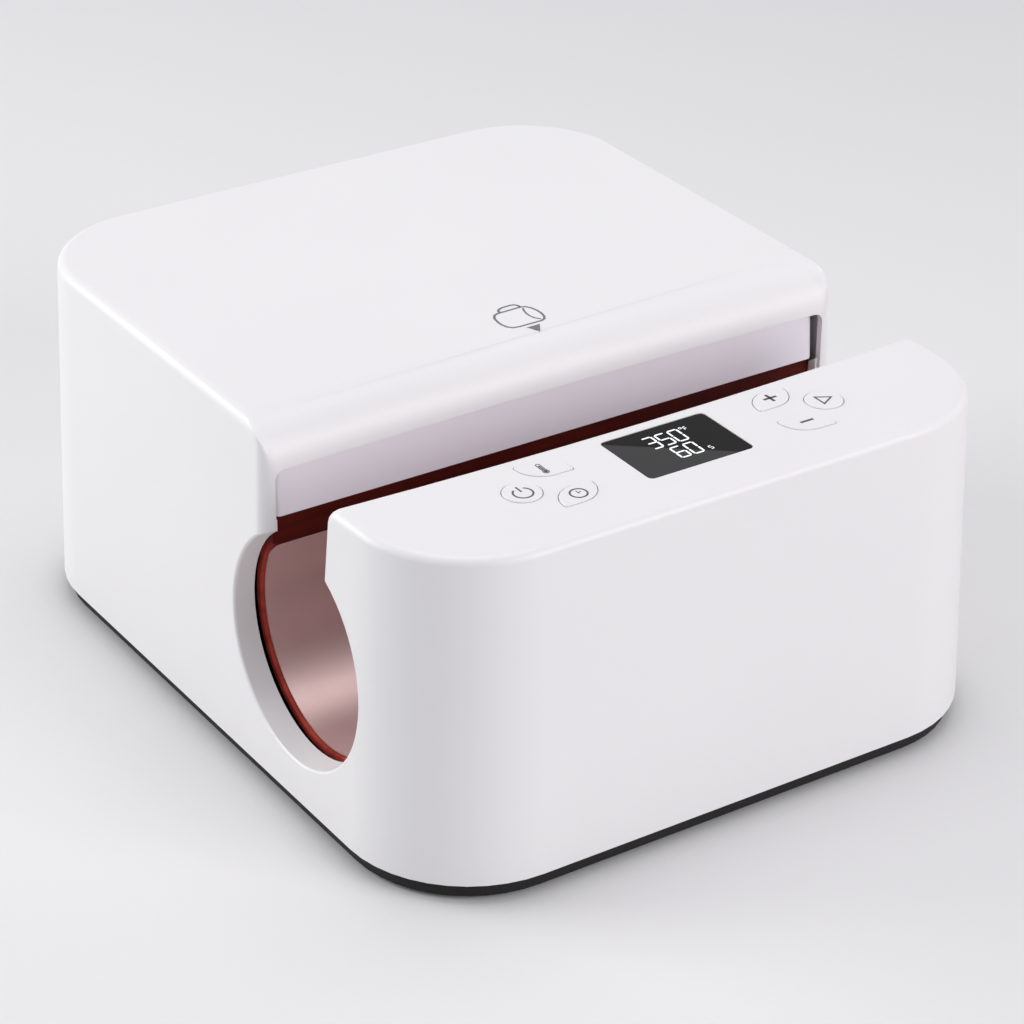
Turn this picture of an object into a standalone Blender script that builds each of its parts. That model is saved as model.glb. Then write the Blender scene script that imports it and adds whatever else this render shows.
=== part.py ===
"""Mug heat press: a white moulded housing with a handle slot and a round mug cavity,
a fixed front heater half and a motor-driven carriage that carries the rear heater half.

X runs to the right, Y to the back and Z up. The mug's axis lies along X, and the press
stands on its feet at Z = 0.
"""

import math

import bmesh
import bpy
from mathutils import Matrix, Vector

MM = 0.001

# Overall housing
HOUSING_WIDTH = 286.0 * MM
HOUSING_DEPTH = 339.4 * MM
CASING_HEIGHT = 150.0 * MM
CONTROL_HEIGHT = 139.9 * MM
CORNER_RADIUS = 54.0 * MM
WALL = 3.0 * MM
WALL_LEAN = 0.035
SPLIT_HEIGHT = 31.4 * MM
FIT_GAP = 0.3 * MM
OVERRUN = 8.0 * MM

# Feet and base tray
FOOT_HEIGHT = 2.0 * MM
FOOT_RADIUS = 9.0 * MM
FOOT_RECESS = 1.5 * MM
FOOT_X = 98.0 * MM
FOOT_Y = 125.0 * MM
RIM_HEIGHT = 6.6 * MM
TRAY_INSET = 3.0 * MM
TRAY_FLOOR = 2.5 * MM
TRAY_RIM_WIDTH = 2.8 * MM
LIP_WIDTH = 2.0 * MM
LIP_HEIGHT = 3.7 * MM
PAD_HEIGHT = 3.2 * MM
PAD_WIDTH = 24.0 * MM
INTAKE_COUNT = 9
INTAKE_PITCH = 12.0 * MM
INTAKE_WIDTH = 4.0 * MM
INTAKE_LENGTH = 50.0 * MM
INTAKE_Y = -8.0 * MM

# Handle slot and mug cavity
MUG_AXIS_Y = -71.3 * MM
MUG_AXIS_HEIGHT = 65.0 * MM
MOUTH_RADIUS = 47.8 * MM
MOUTH_DEPTH = 11.5 * MM
MOUTH_TAPER = 0.07
MOUTH_RING_WIDTH = 3.4 * MM
MOUTH_EDGE = 1.4 * MM
SLOT_REAR_Y = -46.3 * MM
SLOT_FRONT_Y = -93.4 * MM
SLOT_LEAN = 0.07
SLOT_REAR_BOW = 2.4 * MM
SLOT_FRONT_BOW = 3.6 * MM
CASING_NOSE_RADIUS = 20.0 * MM
CASING_EDGE_RADIUS = 4.0 * MM
CASING_CORNER = 5.5 * MM
CONTROL_SLOT_RADIUS = 6.6 * MM
CONTROL_EDGE_RADIUS = 3.6 * MM
CONTROL_CORNER = 2.6 * MM
CONTROL_CORNER_SHARE = 0.5
OPENING_LENGTH = 265.4 * MM
OPENING_HEIGHT = 130.5 * MM
OPENING_CORNER = 4.0 * MM

# Heater halves, measured from the mug axis
FACING_RADIUS = 46.1 * MM
FACING_THICKNESS = 0.6 * MM
MAT_THICKNESS = 3.0 * MM
BAND_THICKNESS = 1.4 * MM
HEATER_LENGTH = 257.4 * MM
BAND_SETBACK = 2.4 * MM
FACING_SETBACK = 1.7 * MM
FACING_CORNER = 5.0 * MM
FLAP_LENGTH = 262.4 * MM
FLAP_BOTTOM = 95.6 * MM
FLAP_TOP = 108.0 * MM
LIP_REACH = 31.0 * MM
LIP_RISE = 29.6 * MM
FLAP_BEND = math.radians(34.0)
FACING_TOP_ANGLE = math.radians(32.0)
REAR_LOW_ANGLE = math.radians(-113.0)
BAND_TOP_ANGLE = math.radians(32.0)
BAND_LOW_ANGLE = math.radians(-110.0)
FRONT_LOW_ANGLE = math.radians(220.0)
FRONT_BAND_LOW_ANGLE = math.radians(218.0)

# Moving carriage
PANEL_RECESS = 4.1 * MM
PANEL_THICKNESS = 2.5 * MM
PANEL_LENGTH = 262.8 * MM
PANEL_LEAN = 0.07
PANEL_BOTTOM = 108.5 * MM
PANEL_RETURN = 12.0 * MM
PANEL_CORNER = 3.0 * MM
PANEL_TOP_CORNER = 4.2 * MM
PANEL_LOW_CORNER = 2.0 * MM
PANEL_TOP_GAP = 0.4 * MM
PANEL_FLANGE = 20.7 * MM
SADDLE_THICKNESS = 3.0 * MM
SADDLE_PLATE = 3.0 * MM
SADDLE_LENGTH = 244.0 * MM
SADDLE_FOOT = 6.4 * MM
SADDLE_REACH = 14.7 * MM
RIB_X = (-118.0 * MM, -60.0 * MM, 60.0 * MM, 118.0 * MM)

# Guide rods, bushings and lead screw
ROD_X = 88.0 * MM
ROD_RADIUS = 4.0 * MM
ROD_LENGTH = 132.0 * MM
ROD_BOSS_RADIUS = 8.0 * MM
ROD_BOSS_LENGTH = 10.0 * MM
BUSHING_RADIUS = 7.5 * MM
BUSHING_LENGTH = 26.0 * MM
BUSHING_FLANGE_RADIUS = 11.0 * MM
BUSHING_FLANGE = 2.5 * MM
SCREW_RADIUS = 4.0 * MM
SCREW_FRONT_Y = -4.0 * MM
SCREW_LENGTH = 68.0 * MM
THREAD_DEPTH = 0.5 * MM
THREAD_PITCH = 4.0 * MM
THREAD_START_GAP = 1.0 * MM
THREAD_LENGTH = 40.0 * MM
NUT_RADIUS = 7.0 * MM
NUT_LENGTH = 16.0 * MM
NUT_FLANGE_RADIUS = 12.0 * MM
NUT_FLANGE = 3.0 * MM
NUT_BRACKET_REACH = 40.3 * MM
NUT_BRACKET_HALF = 22.0 * MM
NUT_BRACKET_FLANGE = 13.0 * MM
NUT_BRACKET_HEIGHT = 31.0 * MM
NUT_BRACKET_SHEET = 2.5 * MM
FLAG_LENGTH = 15.0 * MM
FLAG_HEIGHT = 6.0 * MM
FLAG_THICKNESS = 1.2 * MM
FLAG_X = 18.0 * MM

# Drive bracket, motor bracket and motor
DRIVE_WALL_Y = 44.0 * MM
DRIVE_WIDTH = 210.0 * MM
DRIVE_HEIGHT = 92.0 * MM
DRIVE_SHEET = 2.5 * MM
DRIVE_FOOT = 30.0 * MM
GUSSET_X = 50.0 * MM
GUSSET_HEIGHT = 60.0 * MM
BEARING_RADIUS = 11.0 * MM
BEARING_FLANGE_RADIUS = 12.5 * MM
BEARING_FLANGE = 1.5 * MM
BEARING_LENGTH = 7.0 * MM
COUPLING_Y = 54.0 * MM
COUPLING_RADIUS = 9.0 * MM
COUPLING_LENGTH = 22.0 * MM
MOTOR_SHAFT_RADIUS = 3.0 * MM
MOTOR_SHAFT_LENGTH = 28.0 * MM
MOTOR_WALL_Y = 80.0 * MM
MOTOR_WALL_WIDTH = 56.0 * MM
MOTOR_WALL_FOOT = 34.0 * MM
GEARBOX_RADIUS = 18.5 * MM
GEARBOX_LENGTH = 23.0 * MM
GEARBOX_BORE_DEPTH = 14.0 * MM
MOTOR_RADIUS = 17.5 * MM
MOTOR_LENGTH = 48.0 * MM
SENSOR_SIZE = (12.0 * MM, 12.4 * MM, 14.0 * MM)
SENSOR_SLOT = 3.2 * MM
SENSOR_SLOT_DEPTH = 9.0 * MM
SENSOR_DROP = 14.6 * MM

# Front heater bracket
FRONT_PLATE = 3.0 * MM
FRONT_FOOT = 16.0 * MM
FRONT_TOP = 112.4 * MM
FRONT_RIB_TOP = 104.0 * MM
FRONT_RIB_LOW = 12.0 * MM

# Sensors on the rear band
PROBE_RADIUS = 2.3 * MM
PROBE_LENGTH = 20.0 * MM
PROBE_ANGLE = math.radians(26.0)
FUSE_ANGLE = math.radians(-30.0)
FUSE_X = 30.0 * MM

# Control panel
DISPLAY_Y = -125.0 * MM
DISPLAY_WIDTH = 48.7 * MM
DISPLAY_DEPTH = 34.3 * MM
DISPLAY_CORNER = 2.2 * MM
DISPLAY_SINK = 0.2 * MM
DISPLAY_LEDGE = 2.0 * MM
DISPLAY_LEDGE_THICKNESS = 1.8 * MM
MODULE_MARGIN = 0.8 * MM
BUTTON_Y = -125.1 * MM
ROUND_BUTTON_X = 71.3 * MM
ROUND_BUTTON_RADIUS = 7.8 * MM
LEAF_X = 53.9 * MM
LEAF_OFFSET_Y = 11.7 * MM
LEAF_WIDTH = 19.5 * MM
LEAF_DEPTH = 12.7 * MM
LEAF_ROUND = 11.1 * MM
LEAF_POINT = 0.9 * MM
BUTTON_GAP = 0.35 * MM
BUTTON_RISE = 0.5 * MM
BUTTON_EDGE = 0.4 * MM
BUTTON_FLANGE = 1.2 * MM
BUTTON_FLANGE_THICKNESS = 1.2 * MM
BUTTON_TRAVEL = 0.8 * MM
STEM_RADIUS = 2.0 * MM
BOARD_WIDTH = 184.0 * MM
BOARD_DEPTH = 44.0 * MM
BOARD_THICKNESS = 1.6 * MM
BOARD_DROP = 10.9 * MM
POST_INSET = 5.0 * MM
POST_RADIUS = 3.0 * MM
PIN_RADIUS = 1.4 * MM
PIN_HEAD_RADIUS = 2.4 * MM
PIN_HEAD = 1.2 * MM
SWITCH_SIZE = 6.0 * MM
SWITCH_HEIGHT = 3.5 * MM

# Base screws and their bosses
BOSS_RADIUS = 4.5 * MM
BOSS_HEIGHT = 26.0 * MM
BOSS_INSET = 14.0 * MM
BOSS_WEB = 3.0 * MM
BASE_SCREW_RADIUS = 1.75 * MM
BASE_SCREW_LENGTH = 18.0 * MM
BASE_SCREW_HEAD_RADIUS = 3.6 * MM
BASE_SCREW_HEAD = 2.4 * MM
BASE_SCREW_SINK = 0.6 * MM

# Electronics and mains inlet
POWER_BOARD_X = -74.0 * MM
POWER_BOARD_Y = 112.0 * MM
POWER_BOARD_SIZE = (72.0 * MM, 68.0 * MM)
POWER_BOARD_RISE = 9.0 * MM
TRANSFORMER_SIZE = (44.0 * MM, 38.0 * MM, 32.0 * MM)
TRANSFORMER_OFFSET = (8.0 * MM, -14.0 * MM)
SINK_SIZE = (52.0 * MM, 20.0 * MM, 30.0 * MM)
SINK_OFFSET = (0.0, 24.0 * MM)
SINK_FINS = 7
SINK_FIN = 2.0 * MM
SINK_BASE = 4.0 * MM
INLET_X = 85.0 * MM
INLET_HEIGHT = 30.0 * MM
INLET_BODY = (27.0 * MM, 24.0 * MM, 20.0 * MM)
INLET_FLANGE = (31.0 * MM, 2.0 * MM, 24.0 * MM)
INLET_RECESS = 1.7 * MM
SOCKET_SIZE = (24.0 * MM, 17.0 * MM, 16.4 * MM)
PIN_SPACING = 7.0 * MM
PIN_OFFSET = 2.0 * MM
PIN_SIZE = (2.0 * MM, 30.0 * MM, 4.0 * MM)
PIN_SETBACK = 1.5 * MM
VENT_COUNT = 9
VENT_PITCH = 10.0 * MM
VENT_WIDTH = 4.0 * MM
VENT_HEIGHT = 36.0 * MM
VENT_X = -30.0 * MM
VENT_LIFT = 45.0 * MM

# Facets
CORNER_STEPS = 11
SMALL_CORNER_STEPS = 5
EDGE_STEPS = 8
FILLET_STEPS = 5
ROUND_SIDES = 24
SMALL_SIDES = 16
MOUTH_SIDES = 64
ARC_STEPS = 30
FLARE_STEPS = 3
LEAF_STEPS = 5

# Heights worked out from the stack of tray and housing
HOUSING_BOTTOM = FOOT_HEIGHT + RIM_HEIGHT
CASING_TOP = HOUSING_BOTTOM + CASING_HEIGHT
CONTROL_TOP = HOUSING_BOTTOM + CONTROL_HEIGHT
AXIS_Z = HOUSING_BOTTOM + MUG_AXIS_HEIGHT
TRAY_TOP = HOUSING_BOTTOM - FIT_GAP
TRAY_INSIDE = FOOT_HEIGHT + TRAY_FLOOR
PAD_TOP = TRAY_INSIDE + PAD_HEIGHT
BRACKET_Z = PAD_TOP + FIT_GAP
SPLIT_Z = HOUSING_BOTTOM + SPLIT_HEIGHT
OPENING_TOP = HOUSING_BOTTOM + OPENING_HEIGHT

# Radii of the heater layers
MAT_INNER = FACING_RADIUS + FACING_THICKNESS + FIT_GAP
MAT_OUTER = MAT_INNER + MAT_THICKNESS
BAND_INNER = MAT_OUTER + FIT_GAP
BAND_OUTER = BAND_INNER + BAND_THICKNESS
SADDLE_RADIUS = BAND_OUTER + FIT_GAP

# Carriage planes
PANEL_FRONT_Y = SLOT_REAR_Y + PANEL_RECESS
PANEL_BACK_Y = PANEL_FRONT_Y + PANEL_THICKNESS
PANEL_TOP = OPENING_TOP - PANEL_TOP_GAP
FLAP_RISE = HOUSING_BOTTOM + FLAP_TOP - AXIS_Z
PLATE_FRONT_Y = MUG_AXIS_Y + SADDLE_RADIUS
PLATE_BACK_Y = PLATE_FRONT_Y + SADDLE_PLATE
SADDLE_BOTTOM = HOUSING_BOTTOM + SADDLE_FOOT
SADDLE_TOP = PANEL_TOP - PANEL_THICKNESS - FIT_GAP
NUT_PLATE_Y = PLATE_BACK_Y + NUT_BRACKET_REACH
MOTOR_MOUTH_Y = MOTOR_WALL_Y + DRIVE_SHEET + FIT_GAP

COLOURS = {
    "white_plastic": ((0.86, 0.85, 0.86), 0.38, 0.0),
    "lilac_plastic": ((0.66, 0.62, 0.70), 0.40, 0.0),
    "black_plastic": ((0.030, 0.030, 0.032), 0.55, 0.0),
    "rubber": ((0.020, 0.020, 0.020), 0.85, 0.0),
    "silicone": ((0.22, 0.020, 0.015), 0.55, 0.0),
    "rose_coating": ((0.46, 0.30, 0.30), 0.50, 0.0),
    "steel": ((0.55, 0.56, 0.58), 0.35, 1.0),
    "aluminium": ((0.74, 0.75, 0.77), 0.40, 1.0),
    "brass": ((0.72, 0.52, 0.22), 0.32, 1.0),
    "smoked_window": ((0.020, 0.020, 0.022), 0.10, 0.0),
    "circuit_board": ((0.030, 0.20, 0.090), 0.45, 0.0),
    "dark_metal": ((0.16, 0.16, 0.17), 0.45, 1.0),
}


def clear_scene():
    """Remove every object, so that the file starts empty."""
    for old in list(bpy.data.objects):
        bpy.data.objects.remove(old, do_unlink=True)


def new_collection(name):
    """Make a collection in the scene."""
    group = bpy.data.collections.new(name)
    bpy.context.scene.collection.children.link(group)
    return group


def make_materials():
    """Make one Principled material for each finish."""
    made = {}
    for name, (colour, roughness, metallic) in COLOURS.items():
        material = bpy.data.materials.new(name)
        material.use_nodes = True
        shader = material.node_tree.nodes["Principled BSDF"]
        shader.inputs["Base Color"].default_value = (*colour, 1.0)
        shader.inputs["Roughness"].default_value = roughness
        shader.inputs["Metallic"].default_value = metallic
        made[name] = material
    return made


clear_scene()
PARTS = new_collection("mug_heat_press")
CUTTERS = new_collection("cutters")
MATERIALS = make_materials()


def add_object(name, mesh, finish=None, location=(0.0, 0.0, 0.0)):
    """Put a mesh in the scene: as a part with a finish, or as a cutter without one."""
    thing = bpy.data.objects.new(name, mesh)
    thing.location = location
    if finish:
        PARTS.objects.link(thing)
        mesh.materials.clear()
        mesh.materials.append(MATERIALS[finish])
        mesh.shade_smooth()
        mesh.set_sharp_from_angle(angle=math.radians(35.0))
    else:
        CUTTERS.objects.link(thing)
        thing.display_type = "WIRE"
        thing.hide_render = True
    return thing


def mesh_from(bm, name):
    """Turn a bmesh into a mesh with its faces pointing out."""
    bmesh.ops.recalc_face_normals(bm, faces=bm.faces)
    mesh = bpy.data.meshes.new(name)
    bm.to_mesh(mesh)
    bm.free()
    return mesh


def box(name, size, centre, finish=None):
    """A box from its three sizes and its centre."""
    bm = bmesh.new()
    bmesh.ops.create_cube(bm, size=1.0, matrix=Matrix.Diagonal((*size, 1.0)))
    return add_object(name, mesh_from(bm, name), finish, centre)


TURNS = {
    "X": Matrix.Rotation(math.radians(90.0), 4, "Y"),
    "Y": Matrix.Rotation(math.radians(-90.0), 4, "X"),
    "Z": Matrix.Identity(4),
}


def rod(name, radius, length, axis, start, finish=None, sides=SMALL_SIDES, end_radius=None):
    """A cylinder or cone that starts at a point and runs along +X, +Y or +Z."""
    bm = bmesh.new()
    top = radius if end_radius is None else end_radius
    bmesh.ops.create_cone(bm, cap_ends=True, segments=sides, radius1=radius, radius2=top, depth=length,
                          matrix=TURNS[axis] @ Matrix.Translation((0.0, 0.0, length / 2)))
    return add_object(name, mesh_from(bm, name), finish, start)


def turned(name, profile, axis, start, finish=None, sides=SMALL_SIDES):
    """A solid turned from (radius, distance along the axis) points, closed at both ends."""
    outline = [(0.0, profile[0][1])] + profile + [(0.0, profile[-1][1])]
    mesh = bpy.data.meshes.new(name)
    mesh.from_pydata([(radius, 0.0, along) for radius, along in outline[::-1]],
                     [(i, i + 1) for i in range(len(outline) - 1)], [])
    guide = bpy.data.objects.new(name, mesh)
    bpy.context.scene.collection.objects.link(guide)
    lathe = guide.modifiers.new("lathe", "SCREW")
    lathe.axis = "Z"
    lathe.steps = sides
    lathe.render_steps = sides
    lathe.use_merge_vertices = True
    lathe.merge_threshold = 0.01 * FIT_GAP
    bpy.context.view_layer.update()
    solid = bpy.data.meshes.new_from_object(guide.evaluated_get(bpy.context.evaluated_depsgraph_get()))
    bpy.data.objects.remove(guide, do_unlink=True)
    bpy.data.meshes.remove(mesh)
    solid.transform(TURNS[axis])
    return add_object(name, solid, finish, start)


def bridge_rings(bm, rings, closed=False):
    """Join rings of equal count into a skin, capped at both ends or closed on itself."""
    pairs = list(zip(rings[:-1], rings[1:]))
    if closed:
        pairs.append((rings[-1], rings[0]))
    for low, high in pairs:
        count = len(low)
        for i in range(count):
            j = (i + 1) % count
            bm.faces.new((low[i], low[j], high[j], high[i]))
    if not closed:
        bm.faces.new(rings[0][::-1])
        bm.faces.new(rings[-1])


def stack(name, rings, finish=None, location=(0.0, 0.0, 0.0)):
    """A solid lofted through plan outlines, each given as (points, height)."""
    bm = bmesh.new()
    made = [[bm.verts.new((x, y, z)) for x, y in points] for points, z in rings]
    bridge_rings(bm, made)
    return add_object(name, mesh_from(bm, name), finish, location)


PLANES = {
    "X": Matrix(((0.0, 0.0, 1.0, 0.0), (1.0, 0.0, 0.0, 0.0), (0.0, 1.0, 0.0, 0.0), (0.0, 0.0, 0.0, 1.0))),
    "Y": Matrix(((1.0, 0.0, 0.0, 0.0), (0.0, 0.0, -1.0, 0.0), (0.0, 1.0, 0.0, 0.0), (0.0, 0.0, 0.0, 1.0))),
    "Z": Matrix.Identity(4),
}


def plate(name, outline, thickness, axis, centre, finish=None):
    """A flat outline made solid along an axis: the outline is (y, z), (x, z) or (x, y)."""
    curve = bpy.data.curves.new(name, "CURVE")
    curve.dimensions = "2D"
    curve.fill_mode = "BOTH"
    curve.extrude = thickness / 2
    spline = curve.splines.new("POLY")
    spline.points.add(len(outline) - 1)
    for point, (u, v) in zip(spline.points, outline):
        point.co = (u, v, 0.0, 1.0)
    spline.use_cyclic_u = True
    guide = bpy.data.objects.new(name, curve)
    bpy.context.scene.collection.objects.link(guide)
    bpy.context.view_layer.update()
    evaluated = guide.evaluated_get(bpy.context.evaluated_depsgraph_get())
    mesh = bpy.data.meshes.new_from_object(evaluated)
    bpy.data.objects.remove(guide, do_unlink=True)
    bpy.data.curves.remove(curve)
    bm = bmesh.new()
    bm.from_mesh(mesh)
    bmesh.ops.remove_doubles(bm, verts=bm.verts, dist=0.01 * FIT_GAP)
    bmesh.ops.transform(bm, matrix=PLANES[axis], verts=bm.verts)
    bmesh.ops.recalc_face_normals(bm, faces=bm.faces)
    bm.to_mesh(mesh)
    bm.free()
    return add_object(name, mesh, finish, centre)


def slab(name, outline, low, high, finish=None):
    """A plan outline made solid between two heights."""
    return plate(name, outline, high - low, "Z", (0.0, 0.0, (low + high) / 2), finish)


def boolean(target, tool, operation="DIFFERENCE"):
    """Cut a part with a tool, or join the tool to it; the tool stays among the cutters."""
    if tool.name in PARTS.objects:
        PARTS.objects.unlink(tool)
        CUTTERS.objects.link(tool)
    tool.display_type = "WIRE"
    tool.hide_render = True
    change = target.modifiers.new(tool.name, "BOOLEAN")
    change.operation = operation
    change.object = tool
    return target


def join(target, tool):
    """Fuse a solid into a part."""
    return boolean(target, tool, "UNION")


def merge(name, tools):
    """Collect solids that do not touch each other into one cutter."""
    bm = bmesh.new()
    for tool in tools:
        mesh = tool.data.copy()
        mesh.transform(Matrix.Translation(tool.location))
        bm.from_mesh(mesh)
        bpy.data.meshes.remove(mesh)
        bpy.data.objects.remove(tool, do_unlink=True)
    mesh = bpy.data.meshes.new(name)
    bm.to_mesh(mesh)
    bm.free()
    return add_object(name, mesh)


def arc(cx, cy, radius, start, end, steps):
    """Points along an arc, both ends included."""
    points = []
    for step in range(steps + 1):
        angle = start + (end - start) * step / steps
        points.append((cx + radius * math.cos(angle), cy + radius * math.sin(angle)))
    return points


def rounded_outline(width, depth, radii, steps, centre=(0.0, 0.0)):
    """A rectangle with its own radius at each corner, from the back right one to the left."""
    cx, cy = centre
    signs = ((1.0, 1.0), (-1.0, 1.0), (-1.0, -1.0), (1.0, -1.0))
    points = []
    for quarter, ((sx, sy), radius) in enumerate(zip(signs, radii)):
        start = quarter * math.pi / 2
        middle_x = cx + sx * (width / 2 - radius)
        middle_y = cy + sy * (depth / 2 - radius)
        points += arc(middle_x, middle_y, radius, start, start + math.pi / 2, steps)
    return points


def circle_outline(radius, count, centre=(0.0, 0.0)):
    """A circle as a plan outline, starting at the right."""
    return [(centre[0] + radius * math.cos(2.0 * math.pi * i / count),
             centre[1] + radius * math.sin(2.0 * math.pi * i / count)) for i in range(count)]


class HousingForm:
    """The housing's outer or inner form: a full footprint below, which divides at the slot
    into the control block in front and the taller casing behind."""

    def __init__(self, inset):
        """Take the sizes of the outer form, moved in by a wall thickness."""
        self.inset = inset
        self.half_width = HOUSING_WIDTH / 2 - inset
        self.half_depth = HOUSING_DEPTH / 2 - inset
        self.corner = CORNER_RADIUS - inset
        self.slot_rear = SLOT_REAR_Y + inset
        self.slot_front = SLOT_FRONT_Y - inset
        self.casing_top = CASING_TOP - inset
        self.control_top = CONTROL_TOP - inset
        self.casing_corner = CASING_CORNER - inset
        self.control_corner = CONTROL_CORNER - inset / 2
        self.nose = CASING_NOSE_RADIUS - inset
        self.slot_edge = CONTROL_SLOT_RADIUS - inset
        self.casing_edge = CASING_EDGE_RADIUS - inset
        self.control_edge = CONTROL_EDGE_RADIUS - inset
        self.bottom = HOUSING_BOTTOM - (OVERRUN if inset else 0.0)
        self.split = SPLIT_Z - inset

    def lean(self, z):
        """How far a leaning wall has moved in at a height."""
        return WALL_LEAN * (z - HOUSING_BOTTOM)

    def slot_front_at(self, z):
        """Where the control block's rear wall stands at a height."""
        return self.slot_front - SLOT_LEAN * (z - OPENING_TOP + CONTROL_SLOT_RADIUS)

    def big_corner(self, sx, sy, z, cut):
        """One of the four large corners, as points from its first to its last tangent."""
        radius = self.corner - self.lean(z) - cut
        cx = sx * (self.half_width - self.corner)
        cy = sy * (self.half_depth - self.corner)
        start = {(1, 1): 0.0, (-1, 1): 0.5, (-1, -1): 1.0, (1, -1): 1.5}[(sx, sy)] * math.pi
        return [(x, y, 0.0) for x, y in arc(cx, cy, radius, start, start + math.pi / 2, CORNER_STEPS)]

    def slot_side(self, half, y, corner, bow, facing):
        """The slot's wall from one side of the housing to the other, with its small corners.
        The third value of a point is how far it has turned toward the slot."""
        points = []
        for step in range(SMALL_CORNER_STEPS + 1):
            turn = math.pi / 2 * step / SMALL_CORNER_STEPS
            points.append((half - corner + corner * math.cos(turn),
                           y - facing * corner + facing * corner * math.sin(turn), math.sin(turn)))
        reach = half - corner
        for step in range(1, EDGE_STEPS):
            x = reach * (1.0 - 2.0 * step / EDGE_STEPS)
            points.append((x, y - facing * bow * (1.0 - (x / reach) ** 2), 1.0))
        mirrored = [(-x, py, turn) for x, py, turn in points[:SMALL_CORNER_STEPS + 1]]
        return points + mirrored[::-1]

    def side_half(self, z, cut):
        """Half of the width at a height."""
        return self.half_width - self.lean(z) - cut

    def full_ring(self, z):
        """The whole footprint, with a point where each slot corner starts."""
        half = self.side_half(z, 0.0)
        front_start = self.slot_front_at(self.split) - self.control_corner
        rear_start = self.slot_rear + self.casing_corner
        ring = self.big_corner(-1, -1, z, 0.0) + self.big_corner(1, -1, z, 0.0)
        ring += [(half, front_start, 0.0), (half, rear_start, 0.0)]
        ring += self.big_corner(1, 1, z, 0.0) + self.big_corner(-1, 1, z, 0.0)
        ring += [(-half, rear_start, 0.0), (-half, front_start, 0.0)]
        return ring

    def control_ring(self, z, cut, slot_cut):
        """The control block's outline: front corners, then the slot wall from right to left."""
        ring = self.big_corner(-1, -1, z, cut) + self.big_corner(1, -1, z, cut)
        wall = self.slot_side(self.side_half(z, cut), self.slot_front_at(z) - slot_cut,
                              self.control_corner, SLOT_FRONT_BOW, 1.0)
        return ring + wall

    def casing_ring(self, z, cut, slot_cut):
        """The casing's outline: rear corners, then the slot wall from left to right."""
        ring = self.big_corner(1, 1, z, cut) + self.big_corner(-1, 1, z, cut)
        wall = self.slot_side(self.side_half(z, cut), self.slot_rear + slot_cut,
                              self.casing_corner, SLOT_REAR_BOW, -1.0)
        return ring + [(-x, y, turn) for x, y, turn in wall]

    def casing_drop(self, turn):
        """How deep the casing's top rounding is at a point of its slot wall."""
        reach = max(0.0, self.nose - self.casing_corner * (1.0 - turn))
        return max(self.casing_edge, self.nose - math.sqrt(self.nose ** 2 - reach ** 2))

    def control_drop(self, turn):
        """How deep the control block's top rounding is at a point of its slot wall."""
        share = min(1.0, turn + CONTROL_CORNER_SHARE)
        return self.control_edge + (self.slot_edge - self.control_edge) * share

    def upper_rings(self, ring_at, drop_at, top, edge, slot_edge):
        """Rings from the split up through the top edge's rounding, wider along the slot."""
        rings = [[(x, y, self.split) for x, y, turn in ring_at(self.split, 0.0, 0.0)]]
        turns = [turn for x, y, turn in ring_at(self.split, 0.0, 0.0)]
        on_wall = CORNER_STEPS * 2 + 2
        for step in range(FILLET_STEPS + 1):
            angle = math.pi / 2 * step / FILLET_STEPS
            ring = []
            for index, turn in enumerate(turns):
                radius = drop_at(turn) if index >= on_wall else edge
                z = top - radius * (1.0 - math.sin(angle))
                cut = edge * (1.0 - math.cos(angle))
                slot_cut = slot_edge * (1.0 - math.cos(angle))
                x, y, _ = ring_at(z, cut, slot_cut)[index]
                ring.append((x, y, z))
            rings.append(ring)
        return rings

    def build(self, name, finish=None):
        """Skin the footprint, the strip under the slot and the two blocks as one solid."""
        bm = bmesh.new()
        low = [bm.verts.new((x, y, self.bottom)) for x, y, _ in self.full_ring(self.bottom)]
        high = [bm.verts.new((x, y, self.split)) for x, y, _ in self.full_ring(self.split)]
        count = len(low)
        for i in range(count):
            j = (i + 1) % count
            bm.faces.new((low[i], low[j], high[j], high[i]))
        bm.faces.new(low[::-1])
        corner_points = CORNER_STEPS * 2 + 2
        front = high[:corner_points]
        right_front, right_rear = high[corner_points], high[corner_points + 1]
        back = high[corner_points + 2:corner_points * 2 + 2]
        left_rear, left_front = high[-2], high[-1]
        control = self.upper_rings(self.control_ring, self.control_drop, self.control_top,
                                   self.control_edge, self.slot_edge)
        casing = self.upper_rings(self.casing_ring, self.casing_drop, self.casing_top,
                                  self.casing_edge, self.nose)
        control_wall = self.share_wall(bm, control[0][corner_points:], right_front, left_front)
        casing_wall = self.share_wall(bm, casing[0][corner_points:], left_rear, right_rear)
        self.raise_block(bm, front + control_wall, control[1:])
        self.raise_block(bm, back + casing_wall, casing[1:])
        bm.faces.new(control_wall + casing_wall)
        return add_object(name, mesh_from(bm, name), finish)

    def share_wall(self, bm, points, first, last):
        """Vertices of a slot wall that start and end on the footprint's own."""
        return [first] + [bm.verts.new(point) for point in points[1:-1]] + [last]

    def raise_block(self, bm, base, rings):
        """Walls and top of one block above its base ring."""
        below = base
        for points in rings:
            above = [bm.verts.new(point) for point in points]
            for i in range(len(below)):
                j = (i + 1) % len(below)
                bm.faces.new((below[i], below[j], above[j], above[i]))
            below = above
        bm.faces.new(below)


def leaf_outline(grow, mirror):
    """A leaf-shaped key: two opposite corners well rounded and two nearly pointed."""
    large = LEAF_ROUND + grow
    small = LEAF_POINT + grow
    radii = (small, large, small, large) if mirror > 0 else (large, small, large, small)
    return rounded_outline(LEAF_WIDTH + 2 * grow, LEAF_DEPTH + 2 * grow, radii, LEAF_STEPS)


def round_outline(grow, mirror):
    """A round key, with as many points as a leaf-shaped one."""
    return circle_outline(ROUND_BUTTON_RADIUS + grow, 4 * (LEAF_STEPS + 1))


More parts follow.
